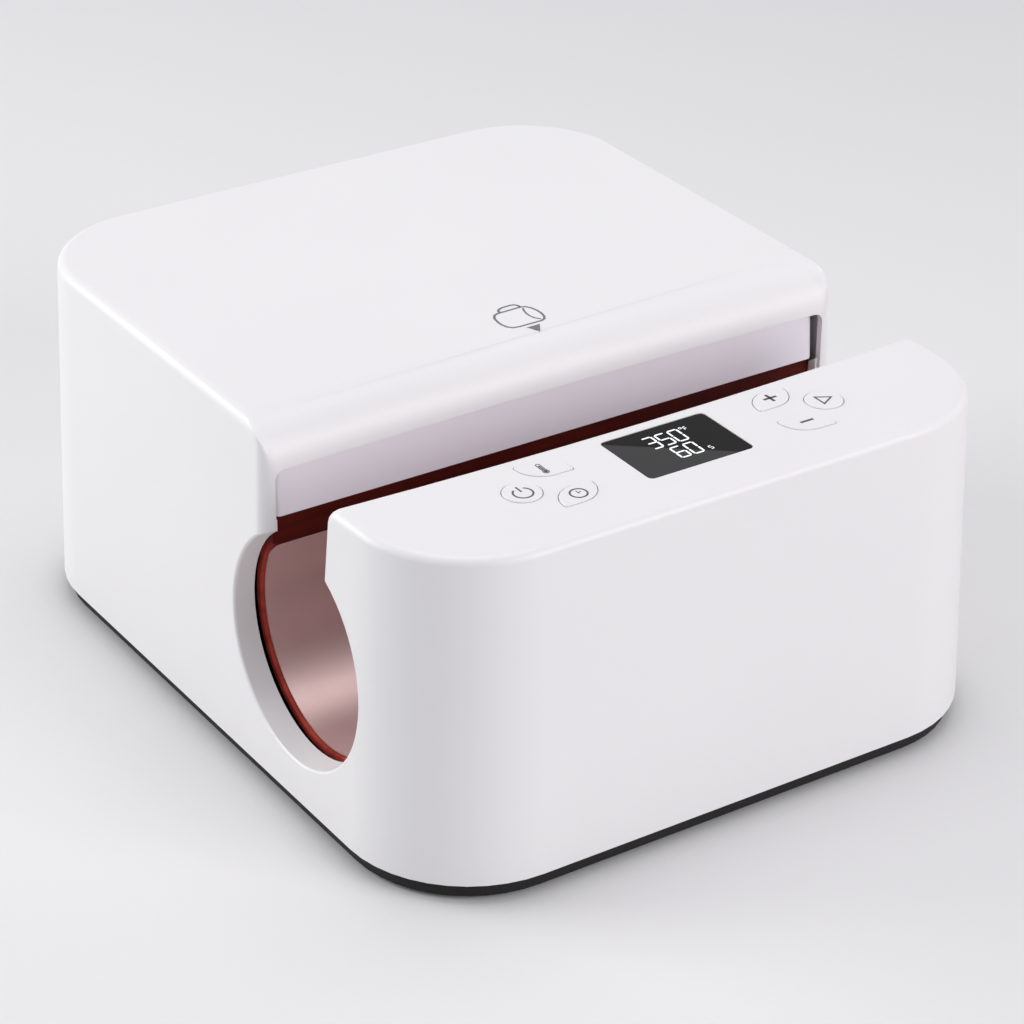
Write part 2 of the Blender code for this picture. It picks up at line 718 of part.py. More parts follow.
KEYS = {
    "button_power": (-ROUND_BUTTON_X, BUTTON_Y, round_outline, 1),
    "button_temperature": (-LEAF_X, BUTTON_Y + LEAF_OFFSET_Y, leaf_outline, -1),
    "button_timer": (-LEAF_X, BUTTON_Y - LEAF_OFFSET_Y, leaf_outline, 1),
    "button_plus": (LEAF_X, BUTTON_Y + LEAF_OFFSET_Y, leaf_outline, 1),
    "button_minus": (LEAF_X, BUTTON_Y - LEAF_OFFSET_Y, leaf_outline, -1),
    "button_start": (ROUND_BUTTON_X, BUTTON_Y, round_outline, 1),
}
BOARD_TOP = CONTROL_TOP - BOARD_DROP
BOARD_BOTTOM = BOARD_TOP - BOARD_THICKNESS
PANEL_UNDERSIDE = CONTROL_TOP - WALL
POSTS = [(sx * (BOARD_WIDTH / 2 - POST_INSET), DISPLAY_Y + sy * (BOARD_DEPTH / 2 - POST_INSET))
         for sx in (-1, 1) for sy in (-1, 1)]


def boss_places():
    """Plan positions of the four base screws, inside the housing's corners."""
    reach = (CORNER_RADIUS - BOSS_INSET) * math.sqrt(0.5)
    x = HOUSING_WIDTH / 2 - CORNER_RADIUS + reach
    y = HOUSING_DEPTH / 2 - CORNER_RADIUS + reach
    return {"front_left": (-x, -y), "front_right": (x, -y), "rear_left": (-x, y), "rear_right": (x, y)}


def mouth_rings():
    """The short collars that line the mug mouths, trimmed halfway into the side walls and
    open at the slot."""
    inner_x = HOUSING_WIDTH / 2 - MOUTH_DEPTH
    rings = [rod(f"mouth_ring_{side}", MOUTH_RADIUS + MOUTH_RING_WIDTH, MOUTH_DEPTH + OVERRUN, "X",
                 (start, MUG_AXIS_Y, AXIS_Z), sides=MOUTH_SIDES)
             for side, start in (("right", inner_x), ("left", -inner_x - MOUTH_DEPTH - OVERRUN))]
    pair = merge("mouth_rings", rings)
    return boolean(pair, HousingForm(WALL / 2).build("ring_trim"), "INTERSECT")


def mouth_cone(side):
    """The mug mouth's opening, which narrows a little on its way in."""
    length = MOUTH_DEPTH + OVERRUN * 2
    outer = MOUTH_RADIUS + MOUTH_TAPER * OVERRUN
    inner = MOUTH_RADIUS - MOUTH_TAPER * (length - OVERRUN)
    x = HOUSING_WIDTH / 2 + OVERRUN
    start = -x if side < 0 else x - length
    first, last = (outer, inner) if side < 0 else (inner, outer)
    return rod(f"mouth_cone_{side}", first, length, "X", (start, MUG_AXIS_Y, AXIS_Z),
               sides=MOUTH_SIDES, end_radius=last)


def mouth_flare(side):
    """The rounding of a mouth's outer edge, square to the leaning side wall."""
    setback = WALL_LEAN * MUG_AXIS_HEIGHT
    bore = MOUTH_RADIUS - MOUTH_TAPER * (setback + MOUTH_EDGE)
    profile = [(bore - MOUTH_EDGE * math.tan(math.pi / 4 / FLARE_STEPS), -MOUTH_EDGE * 2)]
    for u, v in arc(bore + MOUTH_EDGE, -MOUTH_EDGE, MOUTH_EDGE, math.pi, math.pi / 2, FLARE_STEPS)[1:-1]:
        profile.append((u, v))
    profile.append((bore + MOUTH_EDGE * 2, MOUTH_EDGE * math.tan(math.pi / 4 / FLARE_STEPS)))
    profile.append((bore + MOUTH_EDGE * 2, OVERRUN))
    flare = turned(f"mouth_flare_{side}", profile, "X",
                   (side * (HOUSING_WIDTH / 2 - setback), MUG_AXIS_Y, AXIS_Z),
                   sides=MOUTH_SIDES)
    lean = math.atan(WALL_LEAN)
    flare.rotation_euler = (0.0, -lean, 0.0) if side > 0 else (0.0, -lean, math.pi)
    return flare


def housing_bosses():
    """Screw bosses in the corners, each tied to the wall by a web, and the board's posts."""
    pieces = []
    for name, (x, y) in boss_places().items():
        pieces.append(rod(f"boss_{name}", BOSS_RADIUS, BOSS_HEIGHT, "Z", (x, y, HOUSING_BOTTOM + FIT_GAP)))
        away = Vector((math.copysign(1.0, x), math.copysign(1.0, y), 0.0)).normalized()
        length = BOSS_INSET - WALL / 2
        low = HOUSING_BOTTOM + LIP_HEIGHT + FIT_GAP * 2
        height = HOUSING_BOTTOM + BOSS_HEIGHT - low
        centre = Vector((x, y, low + height / 2)) + away * length / 2
        web = box(f"web_{name}", (length, BOSS_WEB, height), centre)
        web.rotation_euler = (0.0, 0.0, math.atan2(away.y, away.x))
        pieces.append(web)
    for index, (x, y) in enumerate(POSTS):
        drop = BOARD_TOP + FIT_GAP - BOARD_BOTTOM + FIT_GAP * 2
        base = BOARD_BOTTOM - FIT_GAP - PIN_HEAD
        shoulder = BOARD_TOP + FIT_GAP - base
        roof = CONTROL_TOP - WALL / 2 - base
        profile = [(PIN_HEAD_RADIUS, 0.0), (PIN_HEAD_RADIUS, PIN_HEAD), (PIN_RADIUS, PIN_HEAD),
                   (PIN_RADIUS, PIN_HEAD + drop - FIT_GAP), (POST_RADIUS, shoulder), (POST_RADIUS, roof)]
        pieces.append(turned(f"board_post_{index}", profile, "Z", (x, y, base)))
    return pieces


def housing_cuts():
    """Openings in the housing: carriage front, heater window, keys, display, vents, inlet."""
    cuts = []
    low = AXIS_Z - MOUTH_RADIUS + MOUTH_RING_WIDTH * 2
    height = OPENING_TOP - low
    span = SLOT_REAR_BOW + WALL + OVERRUN
    opening = rounded_outline(OPENING_LENGTH, height, (OPENING_CORNER,) * 4, SMALL_CORNER_STEPS)
    cuts.append(plate("carriage_opening", opening, span * 2, "Y", (0.0, SLOT_REAR_Y, low + height / 2)))
    window_top = PANEL_BOTTOM + HOUSING_BOTTOM
    window_low = HOUSING_BOTTOM + OVERRUN
    front = SLOT_FRONT_Y - SLOT_FRONT_BOW - WALL * 2 - OVERRUN
    cuts.append(box("heater_window", (OPENING_LENGTH, SLOT_REAR_Y - front, window_top - window_low),
                    (0.0, (SLOT_REAR_Y + front) / 2, (window_top + window_low) / 2)))
    holes = []
    for name, (x, y, outline, mirror) in KEYS.items():
        points = outline(BUTTON_GAP, mirror)
        holes.append(plate(f"hole_{name}", points, OVERRUN, "Z", (x, y, CONTROL_TOP)))
    window = rounded_outline(DISPLAY_WIDTH + FIT_GAP * 2, DISPLAY_DEPTH + FIT_GAP * 2,
                             (DISPLAY_CORNER + FIT_GAP,) * 4, LEAF_STEPS)
    holes.append(plate("hole_display", window, OVERRUN, "Z", (0.0, DISPLAY_Y, CONTROL_TOP)))
    back = HOUSING_DEPTH / 2 - WALL_LEAN * VENT_LIFT
    for index in range(VENT_COUNT):
        x = VENT_X + VENT_PITCH * (index - (VENT_COUNT - 1) / 2)
        holes.append(box(f"vent_{index}", (VENT_WIDTH, OVERRUN * 2, VENT_HEIGHT),
                         (x, back, HOUSING_BOTTOM + VENT_LIFT + VENT_HEIGHT / 2)))
    cuts.append(merge("housing_holes", holes))
    return cuts + inlet_cuts()


def inlet_cuts():
    """The inlet's hole through the back wall and the recess that its flange lies in."""
    cuts = []
    x, y, z = inlet_place()
    for name, size, shift in (("inlet_hole", INLET_BODY, 0.0),
                              ("inlet_recess", INLET_FLANGE, OVERRUN - INLET_RECESS)):
        cut = box(name, (size[0] + FIT_GAP * 2, OVERRUN * 2, size[2] + FIT_GAP * 2), (x, y + shift, z))
        cut.rotation_euler = (math.atan(WALL_LEAN), 0.0, 0.0)
        cuts.append(cut)
    return cuts


def build_housing():
    """The white upper moulding: casing, control block, slot and the two mug mouths."""
    housing = HousingForm(0.0).build("housing", "white_plastic")
    boolean(housing, HousingForm(WALL).build("housing_hollow"))
    for cut in housing_cuts():
        boolean(housing, cut)
    join(housing, mouth_rings())
    for side in (-1, 1):
        boolean(housing, mouth_cone(side))
        boolean(housing, mouth_flare(side))
    for piece in housing_bosses():
        join(housing, piece)
    for name, (x, y) in boss_places().items():
        boolean(housing, rod(f"boss_bore_{name}", BASE_SCREW_RADIUS + FIT_GAP, BASE_SCREW_LENGTH, "Z",
                             (x, y, HOUSING_BOTTOM - OVERRUN)))


def build_display_window():
    """The smoked window, let in flush, with a ledge glued under the panel."""
    radii = (DISPLAY_CORNER,) * 4
    plan = rounded_outline(DISPLAY_WIDTH, DISPLAY_DEPTH, radii, LEAF_STEPS)
    wide = rounded_outline(DISPLAY_WIDTH + DISPLAY_LEDGE * 2, DISPLAY_DEPTH + DISPLAY_LEDGE * 2,
                           radii, LEAF_STEPS)
    seat = PANEL_UNDERSIDE - FIT_GAP
    rings = [(wide, seat - DISPLAY_LEDGE_THICKNESS), (wide, seat), (plan, seat),
             (plan, CONTROL_TOP - DISPLAY_SINK)]
    stack("display_window", rings, "smoked_window", (0.0, DISPLAY_Y, 0.0))


def build_control_electronics():
    """Display module, control board and a switch under each key."""
    board = box("control_board", (BOARD_WIDTH, BOARD_DEPTH, BOARD_THICKNESS),
                (0.0, DISPLAY_Y, (BOARD_TOP + BOARD_BOTTOM) / 2), "circuit_board")
    holes = [rod(f"board_hole_{i}", PIN_RADIUS + FIT_GAP, OVERRUN, "Z", (x, y, BOARD_TOP - OVERRUN / 2))
             for i, (x, y) in enumerate(POSTS)]
    boolean(board, merge("board_holes", holes))
    low = BOARD_TOP + FIT_GAP
    high = PANEL_UNDERSIDE - FIT_GAP * 2 - DISPLAY_LEDGE_THICKNESS
    box("display_module", (DISPLAY_WIDTH + MODULE_MARGIN * 2, DISPLAY_DEPTH + MODULE_MARGIN * 2, high - low),
        (0.0, DISPLAY_Y, (low + high) / 2), "dark_metal")
    for name, (x, y, _, _) in KEYS.items():
        box(name.replace("button", "switch"), (SWITCH_SIZE, SWITCH_SIZE, SWITCH_HEIGHT),
            (x, y, low + SWITCH_HEIGHT / 2), "black_plastic")


def build_buttons():
    """Six keys: a cap that stands a little proud, a flange that keeps it in, and a stem."""
    stem_end = BOARD_TOP + FIT_GAP * 2 + SWITCH_HEIGHT + BUTTON_TRAVEL - CONTROL_TOP
    flange_top = -WALL - FIT_GAP
    flange_low = flange_top - BUTTON_FLANGE_THICKNESS
    for name, (x, y, outline, mirror) in KEYS.items():
        cap = outline(0.0, mirror)
        angles = [math.atan2(v, u) for u, v in cap]
        stem = [(STEM_RADIUS * math.cos(a), STEM_RADIUS * math.sin(a)) for a in angles]
        wide = outline(BUTTON_FLANGE, mirror)
        rings = [(stem, stem_end), (stem, flange_low), (wide, flange_low), (wide, flange_top),
                 (cap, flange_top), (cap, BUTTON_RISE - BUTTON_EDGE),
                 (outline(-BUTTON_EDGE, mirror), BUTTON_RISE)]
        stack(name, rings, "white_plastic", (x, y, CONTROL_TOP))


def tray_outline(inset):
    """The tray's plan, set in from the housing's lower edge."""
    radii = (CORNER_RADIUS - inset,) * 4
    return rounded_outline(HOUSING_WIDTH - inset * 2, HOUSING_DEPTH - inset * 2, radii, CORNER_STEPS)


def tray_pads():
    """Raised pads under the brackets, posts under the power board and bosses for the screws."""
    pads = []
    base = TRAY_INSIDE - TRAY_FLOOR / 2
    height = PAD_TOP - base
    middle = base + height / 2
    for index, x in enumerate((-GUSSET_X, GUSSET_X)):
        pads.append(box(f"drive_pad_{index}", (PAD_WIDTH, DRIVE_FOOT, height),
                        (x, DRIVE_WALL_Y + DRIVE_FOOT / 2, middle)))
        pads.append(box(f"front_pad_{index}", (PAD_WIDTH, FRONT_FOOT, height),
                        (x, front_plate_y() - FRONT_FOOT / 2, middle)))
    pads.append(box("motor_pad", (MOTOR_WALL_WIDTH, MOTOR_WALL_FOOT, height),
                    (0.0, MOTOR_WALL_Y + MOTOR_WALL_FOOT / 2 + FIT_GAP, middle)))
    for index, (x, y) in enumerate(power_board_posts()):
        rise = TRAY_INSIDE + POWER_BOARD_RISE - base
        pads.append(rod(f"power_post_{index}", POST_RADIUS, rise, "Z", (x, y, base)))
    for name, (x, y) in boss_places().items():
        pads.append(rod(f"tray_boss_{name}", BOSS_RADIUS, TRAY_TOP - base, "Z", (x, y, base)))
    return pads


def power_board_posts():
    """Plan places of the four posts under the power board."""
    half_x = POWER_BOARD_SIZE[0] / 2 - POST_INSET
    half_y = POWER_BOARD_SIZE[1] / 2 - POST_INSET
    return [(POWER_BOARD_X + sx * half_x, POWER_BOARD_Y + sy * half_y) for sx in (-1, 1) for sy in (-1, 1)]


def build_tray():
    """The black base tray: a rim that shows under the housing and a lip that locates it."""
    tray = slab("base_tray", tray_outline(TRAY_INSET), FOOT_HEIGHT, TRAY_TOP, "black_plastic")
    join(tray, slab("tray_lip", tray_outline(TRAY_INSET + TRAY_RIM_WIDTH), TRAY_INSIDE,
                    HOUSING_BOTTOM + LIP_HEIGHT))
    boolean(tray, slab("tray_hollow", tray_outline(TRAY_INSET + TRAY_RIM_WIDTH + LIP_WIDTH), TRAY_INSIDE,
                       CONTROL_TOP))
    join(tray, merge("tray_pads", tray_pads()))
    cuts = []
    for sx in (-1, 1):
        for sy in (-1, 1):
            cuts.append(rod(f"foot_recess_{sx}_{sy}", FOOT_RADIUS + FIT_GAP, FOOT_HEIGHT + FOOT_RECESS, "Z",
                            (sx * FOOT_X, sy * FOOT_Y, 0.0)))
    for index in range(INTAKE_COUNT):
        x = INTAKE_PITCH * (index - (INTAKE_COUNT - 1) / 2)
        cuts.append(box(f"intake_{index}", (INTAKE_WIDTH, INTAKE_LENGTH, OVERRUN),
                        (x, INTAKE_Y, FOOT_HEIGHT)))
    recess = FOOT_HEIGHT + BASE_SCREW_SINK + BASE_SCREW_HEAD + FIT_GAP
    for name, (x, y) in boss_places().items():
        profile = [(BASE_SCREW_HEAD_RADIUS + FIT_GAP, 0.0), (BASE_SCREW_HEAD_RADIUS + FIT_GAP, recess),
                   (BASE_SCREW_RADIUS + FIT_GAP, recess), (BASE_SCREW_RADIUS + FIT_GAP, TRAY_TOP + OVERRUN)]
        cuts.append(turned(f"screw_bore_{name}", profile, "Z", (x, y, 0.0)))
    boolean(tray, merge("tray_cuts", cuts))


def build_feet_and_screws():
    """Four rubber feet and the four screws that hold the tray to the housing."""
    for side_x, sx in (("left", -1), ("right", 1)):
        for side_y, sy in (("front", -1), ("rear", 1)):
            rod(f"foot_{side_y}_{side_x}", FOOT_RADIUS, FOOT_HEIGHT + FOOT_RECESS - FIT_GAP, "Z",
                (sx * FOOT_X, sy * FOOT_Y, 0.0), "rubber", sides=ROUND_SIDES)
    for name, (x, y) in boss_places().items():
        profile = [(BASE_SCREW_HEAD_RADIUS, 0.0), (BASE_SCREW_HEAD_RADIUS, BASE_SCREW_HEAD),
                   (BASE_SCREW_RADIUS, BASE_SCREW_HEAD), (BASE_SCREW_RADIUS, BASE_SCREW_LENGTH - OVERRUN)]
        turned(f"base_screw_{name}", profile, "Z", (x, y, FOOT_HEIGHT + BASE_SCREW_SINK), "steel")


def arc_about_axis(radius, start, end, steps=ARC_STEPS):
    """(y, z) points on a circle about the mug's axis; angles run from the back upward."""
    return arc(0.0, 0.0, radius, start, end, steps)


def heater_layer(name, inner, thickness, top, low, finish, length):
    """A curved sheet about the mug's axis."""
    outer = inner + thickness
    outline = arc_about_axis(inner, low, top) + arc_about_axis(outer, top, low)
    return plate(name, outline, length, "X", (0.0, MUG_AXIS_Y, AXIS_Z), finish)


def heater_line(radius, low, rise):
    """(y, z) points along one face of a heater layer: round the mug, then in to the lip and up.
    Faces at other radii keep their distance from the mat's inner face, mitred at the bends."""
    bend = Vector((math.cos(FLAP_BEND), math.sin(FLAP_BEND)))
    lip = Vector((LIP_REACH, LIP_RISE))
    inward = (lip - bend * MAT_INNER).normalized()
    slope = Vector((inward.y, -inward.x))
    level = Vector((1.0, 0.0))
    away = radius - MAT_INNER
    first = bend * MAT_INNER + (bend + slope) * away / (1.0 + bend.dot(slope))
    second = lip + (slope + level) * away / (1.0 + slope.dot(level))
    return arc_about_axis(radius, low, FLAP_BEND)[:-1] + [tuple(first), tuple(second), (second.x, rise)]


def mat_outline(low, facing):
    """The silicone mat: a curved sheet that bends in to a lip and ends in an upright flap."""
    outline = heater_line(MAT_INNER, low, FLAP_RISE) + heater_line(MAT_OUTER, low, FLAP_RISE)[::-1]
    return [(facing * y, z) for y, z in outline]


def corner_tools(name, half, edge, radius, facing, y):
    """Tools that round off both corners of a sheet's upper or lower edge, as seen along Y."""
    tools = []
    for side in (-1, 1):
        cx = side * (half - radius)
        cz = edge - facing * radius
        points = [(side * (half + OVERRUN), cz), (side * (half + OVERRUN), edge + facing * OVERRUN),
                  (cx, edge + facing * OVERRUN)]
        points += [(cx + side * u, cz + facing * v)
                   for u, v in arc(0.0, 0.0, radius, math.pi / 2, 0.0, SMALL_CORNER_STEPS)]
        tools.append(plate(f"{name}_{side}", points, OVERRUN * 4, "Y", (0.0, y, 0.0)))
    return tools


def heating_mat(name, low, facing):
    """A mat cut from one wide sheet: the flap keeps its full width, the curved part is shorter."""
    mat = plate(name, mat_outline(low, facing), FLAP_LENGTH, "X", (0.0, MUG_AXIS_Y, AXIS_Z), "silicone")
    depth = (MAT_OUTER + OVERRUN) * 2
    height = HOUSING_BOTTOM + FLAP_BOTTOM + OVERRUN
    middle = HOUSING_BOTTOM + FLAP_BOTTOM - height / 2
    ends = [box(f"{name}_end_{side}", (OVERRUN, depth, height),
                (side * (HEATER_LENGTH + OVERRUN) / 2, MUG_AXIS_Y, middle)) for side in (-1, 1)]
    boolean(mat, merge(f"{name}_ends", ends))


def facing_sheet(name, top, low, facing):
    """A rose sheet over the mat's curved part, with its two upper corners well rounded."""
    length = HEATER_LENGTH - FACING_SETBACK * 2
    sheet = heater_layer(name, FACING_RADIUS, FACING_THICKNESS, top, low, "rose_coating", length)
    edge = AXIS_Z + (FACING_RADIUS + FACING_THICKNESS) * math.sin(FACING_TOP_ANGLE)
    y = MUG_AXIS_Y + facing * FACING_RADIUS * math.cos(FACING_TOP_ANGLE)
    tools = corner_tools(f"{name}_corner", length / 2, edge, FACING_CORNER, 1.0, y)
    boolean(sheet, merge(f"{name}_corners", tools))


def build_rear_heater():
    """The rear heater half on the carriage: band, mat and facing sheet."""
    heater_layer("rear_band", BAND_INNER, BAND_THICKNESS, BAND_TOP_ANGLE, BAND_LOW_ANGLE, "steel",
                 HEATER_LENGTH - BAND_SETBACK * 2)
    heating_mat("rear_heating_mat", REAR_LOW_ANGLE, 1.0)
    facing_sheet("rear_facing_sheet", FACING_TOP_ANGLE, REAR_LOW_ANGLE, 1.0)
    for name, angle, x in (("temperature_probe", PROBE_ANGLE, 0.0), ("thermal_fuse", FUSE_ANGLE, FUSE_X)):
        reach = BAND_OUTER + FIT_GAP + PROBE_RADIUS
        rod(name, PROBE_RADIUS, PROBE_LENGTH, "X",
            (x - PROBE_LENGTH / 2, MUG_AXIS_Y + reach * math.cos(angle), AXIS_Z + reach * math.sin(angle)),
            "dark_metal")


def build_front_heater():
    """The fixed front heater half behind the control block's wall."""
    heating_mat("front_heating_mat", math.pi - FRONT_LOW_ANGLE, -1.0)
    facing_sheet("front_facing_sheet", math.pi - FACING_TOP_ANGLE, FRONT_LOW_ANGLE, -1.0)
    heater_layer("front_band", BAND_INNER, BAND_THICKNESS, math.pi - BAND_TOP_ANGLE,
                 FRONT_BAND_LOW_ANGLE, "steel", HEATER_LENGTH - BAND_SETBACK * 2)


def build_carriage_frame():
    """The cast saddle: a back plate with four ribs that follow the band, and rod bosses."""
    height = SADDLE_TOP - SADDLE_BOTTOM
    frame = box("carriage_frame", (SADDLE_LENGTH, SADDLE_PLATE, height),
                (0.0, (PLATE_FRONT_Y + PLATE_BACK_Y) / 2, (SADDLE_TOP + SADDLE_BOTTOM) / 2), "aluminium")
    root = (PLATE_FRONT_Y + PLATE_BACK_Y) / 2 - MUG_AXIS_Y
    low_angle = -math.pi + math.acos(SADDLE_REACH / SADDLE_RADIUS)
    outline = [(root, SADDLE_BOTTOM - AXIS_Z), (-SADDLE_REACH, SADDLE_BOTTOM - AXIS_Z)]
    outline += heater_line(SADDLE_RADIUS, low_angle, SADDLE_TOP - AXIS_Z)
    outline.append((root, SADDLE_TOP - AXIS_Z))
    ribs = [plate(f"saddle_rib_{i}", outline, SADDLE_THICKNESS, "X", (x, MUG_AXIS_Y, AXIS_Z))
            for i, x in enumerate(RIB_X)]
    join(frame, merge("saddle_ribs", ribs))
    bosses = [rod(f"rod_boss_{i}", ROD_BOSS_RADIUS, ROD_BOSS_LENGTH, "Y",
                  (x, PLATE_BACK_Y - SADDLE_PLATE / 2, AXIS_Z), sides=ROUND_SIDES)
              for i, x in enumerate((-ROD_X, ROD_X))]
    join(frame, merge("rod_bosses", bosses))
    bores = [rod(f"rod_bore_{i}", ROD_RADIUS + FIT_GAP, ROD_BOSS_LENGTH * 3, "Y",
                 (x, PLATE_FRONT_Y - ROD_BOSS_LENGTH, AXIS_Z)) for i, x in enumerate((-ROD_X, ROD_X))]
    boolean(frame, merge("rod_bores", bores))


def moved(outline, dy):
    """A plan outline shifted along Y."""
    return [(x, y + dy) for x, y in outline]


def build_shield_panel():
    """The pale shield that closes the casing's front above the mat: it leans back a little
    and has a return at each end and a flange along its top."""
    half = PANEL_LENGTH / 2
    back = PANEL_FRONT_Y + PANEL_RETURN
    inner = half - PANEL_THICKNESS
    front = arc(half - PANEL_CORNER, PANEL_FRONT_Y + PANEL_CORNER, PANEL_CORNER, 0.0, -math.pi / 2,
                SMALL_CORNER_STEPS)
    front += arc(-half + PANEL_CORNER, PANEL_FRONT_Y + PANEL_CORNER, PANEL_CORNER, -math.pi / 2,
                 -math.pi, SMALL_CORNER_STEPS)
    outline = [(half, back)] + front
    outline += [(-half, back), (-inner, back), (-inner, PANEL_BACK_Y), (inner, PANEL_BACK_Y), (inner, back)]
    low = HOUSING_BOTTOM + PANEL_BOTTOM
    middle = (PANEL_TOP + low) / 2
    panel = stack("shield_panel", [(moved(outline, PANEL_LEAN * (low - middle)), low - middle),
                                   (moved(outline, PANEL_LEAN * (PANEL_TOP - middle)), PANEL_TOP - middle)],
                  "lilac_plastic", (0.0, 0.0, middle))
    flange_back = PANEL_FRONT_Y + PANEL_FLANGE
    flange = [(half, flange_back)] + front + [(-half, flange_back)]
    base = PANEL_TOP - PANEL_THICKNESS
    join(panel, stack("panel_flange", [(moved(flange, PANEL_LEAN * (base - middle)), base),
                                       (moved(flange, PANEL_LEAN * (PANEL_TOP - middle)), PANEL_TOP)]))
    corners = corner_tools("panel_top_corner", half, PANEL_TOP, PANEL_TOP_CORNER, 1.0, flange_back - OVERRUN)
    corners += corner_tools("panel_low_corner", half, low, PANEL_LOW_CORNER, -1.0, flange_back - OVERRUN)
    boolean(panel, merge("panel_corners", corners))


def build_nut_bracket():
    """A hat-shaped steel bracket behind the saddle that holds the nut and the sensor's flag."""
    near = PLATE_BACK_Y + FIT_GAP
    half = NUT_BRACKET_HALF
    wide = half + NUT_BRACKET_FLANGE
    sheet = NUT_BRACKET_SHEET
    outline = [(-wide, near), (-half + sheet, near), (-half + sheet, NUT_PLATE_Y - sheet),
               (half - sheet, NUT_PLATE_Y - sheet), (half - sheet, near), (wide, near),
               (wide, near + sheet), (half, near + sheet), (half, NUT_PLATE_Y), (-half, NUT_PLATE_Y),
               (-half, near + sheet), (-wide, near + sheet)]
    bracket = plate("nut_bracket", outline, NUT_BRACKET_HEIGHT, "Z", (0.0, 0.0, AXIS_Z), "steel")
    flag_z = AXIS_Z - NUT_BRACKET_HEIGHT / 2 + FLAG_HEIGHT / 2
    join(bracket, box("flag", (FLAG_THICKNESS, FLAG_LENGTH + sheet, FLAG_HEIGHT),
                      (FLAG_X, NUT_PLATE_Y - sheet + (FLAG_LENGTH + sheet) / 2, flag_z)))
    boolean(bracket, rod("nut_hole", NUT_RADIUS + FIT_GAP, sheet + OVERRUN * 2, "Y",
                         (0.0, NUT_PLATE_Y - sheet - OVERRUN, AXIS_Z)))


def build_guides():
    """Two steel rods fixed in the saddle, which slide in two bronze bushings."""
    for side, x in (("left", -ROD_X), ("right", ROD_X)):
        rod(f"guide_rod_{side}", ROD_RADIUS, ROD_LENGTH, "Y", (x, PLATE_FRONT_Y, AXIS_Z), "steel")
        start = DRIVE_WALL_Y - FIT_GAP - BUSHING_FLANGE
        profile = [(BUSHING_FLANGE_RADIUS, 0.0), (BUSHING_FLANGE_RADIUS, BUSHING_FLANGE),
                   (BUSHING_RADIUS, BUSHING_FLANGE), (BUSHING_RADIUS, BUSHING_LENGTH)]
        bushing = turned(f"guide_bushing_{side}", profile, "Y", (x, start, AXIS_Z), "brass")
        boolean(bushing, rod(f"bushing_bore_{side}", ROD_RADIUS + FIT_GAP, BUSHING_LENGTH + OVERRUN * 2,
                             "Y", (x, start - OVERRUN, AXIS_Z)))


def thread_profile():
    """The lead screw's turned outline: a plain journal and a threaded run of grooves."""
    core = SCREW_RADIUS - THREAD_DEPTH
    profile = [(core, 0.0), (core, THREAD_START_GAP)]
    turns = int(THREAD_LENGTH / THREAD_PITCH + 0.5)
    for turn in range(turns):
        start = THREAD_START_GAP + turn * THREAD_PITCH
        profile += [(SCREW_RADIUS, start + THREAD_PITCH / 2), (core, start + THREAD_PITCH)]
    profile += [(SCREW_RADIUS, THREAD_START_GAP + turns * THREAD_PITCH + THREAD_PITCH / 2),
                (SCREW_RADIUS, SCREW_LENGTH)]
    return profile


def build_screw_drive():
    """Lead screw, its nut and bearing, and the coupling and shaft that turn it."""
    turned("lead_screw", thread_profile(), "Y", (0.0, SCREW_FRONT_Y, AXIS_Z), "steel")
    start = NUT_PLATE_Y + FIT_GAP + NUT_FLANGE - NUT_LENGTH
    profile = [(NUT_RADIUS, 0.0), (NUT_RADIUS, NUT_LENGTH - NUT_FLANGE),
               (NUT_FLANGE_RADIUS, NUT_LENGTH - NUT_FLANGE), (NUT_FLANGE_RADIUS, NUT_LENGTH)]
    nut = turned("carriage_nut", profile, "Y", (0.0, start, AXIS_Z), "brass")
    boolean(nut, rod("nut_bore", SCREW_RADIUS + FIT_GAP, NUT_LENGTH + OVERRUN * 2, "Y",
                     (0.0, start - OVERRUN, AXIS_Z)))
    start = DRIVE_WALL_Y - FIT_GAP - BEARING_FLANGE
    profile = [(BEARING_FLANGE_RADIUS, 0.0), (BEARING_FLANGE_RADIUS, BEARING_FLANGE),
               (BEARING_RADIUS, BEARING_FLANGE), (BEARING_RADIUS, BEARING_LENGTH)]
    bearing = turned("screw_bearing", profile, "Y", (0.0, start, AXIS_Z), "steel", sides=ROUND_SIDES)
    boolean(bearing, rod("bearing_bore", SCREW_RADIUS + FIT_GAP, BEARING_LENGTH + OVERRUN * 2, "Y",
                         (0.0, start - OVERRUN, AXIS_Z)))
    screw_end = SCREW_FRONT_Y + SCREW_LENGTH
    coupling = rod("shaft_coupling", COUPLING_RADIUS, COUPLING_LENGTH, "Y", (0.0, COUPLING_Y, AXIS_Z),
                   "aluminium", sides=ROUND_SIDES)
    bore = screw_end - COUPLING_Y + FIT_GAP
    profile = [(SCREW_RADIUS + FIT_GAP, -OVERRUN), (SCREW_RADIUS + FIT_GAP, bore),
               (MOTOR_SHAFT_RADIUS + FIT_GAP, bore),
               (MOTOR_SHAFT_RADIUS + FIT_GAP, COUPLING_LENGTH + OVERRUN)]
    boolean(coupling, turned("coupling_bore", profile, "Y", (0.0, COUPLING_Y, AXIS_Z)))
    rod("motor_shaft", MOTOR_SHAFT_RADIUS, MOTOR_SHAFT_LENGTH, "Y", (0.0, screw_end + FIT_GAP * 2, AXIS_Z),
        "steel")


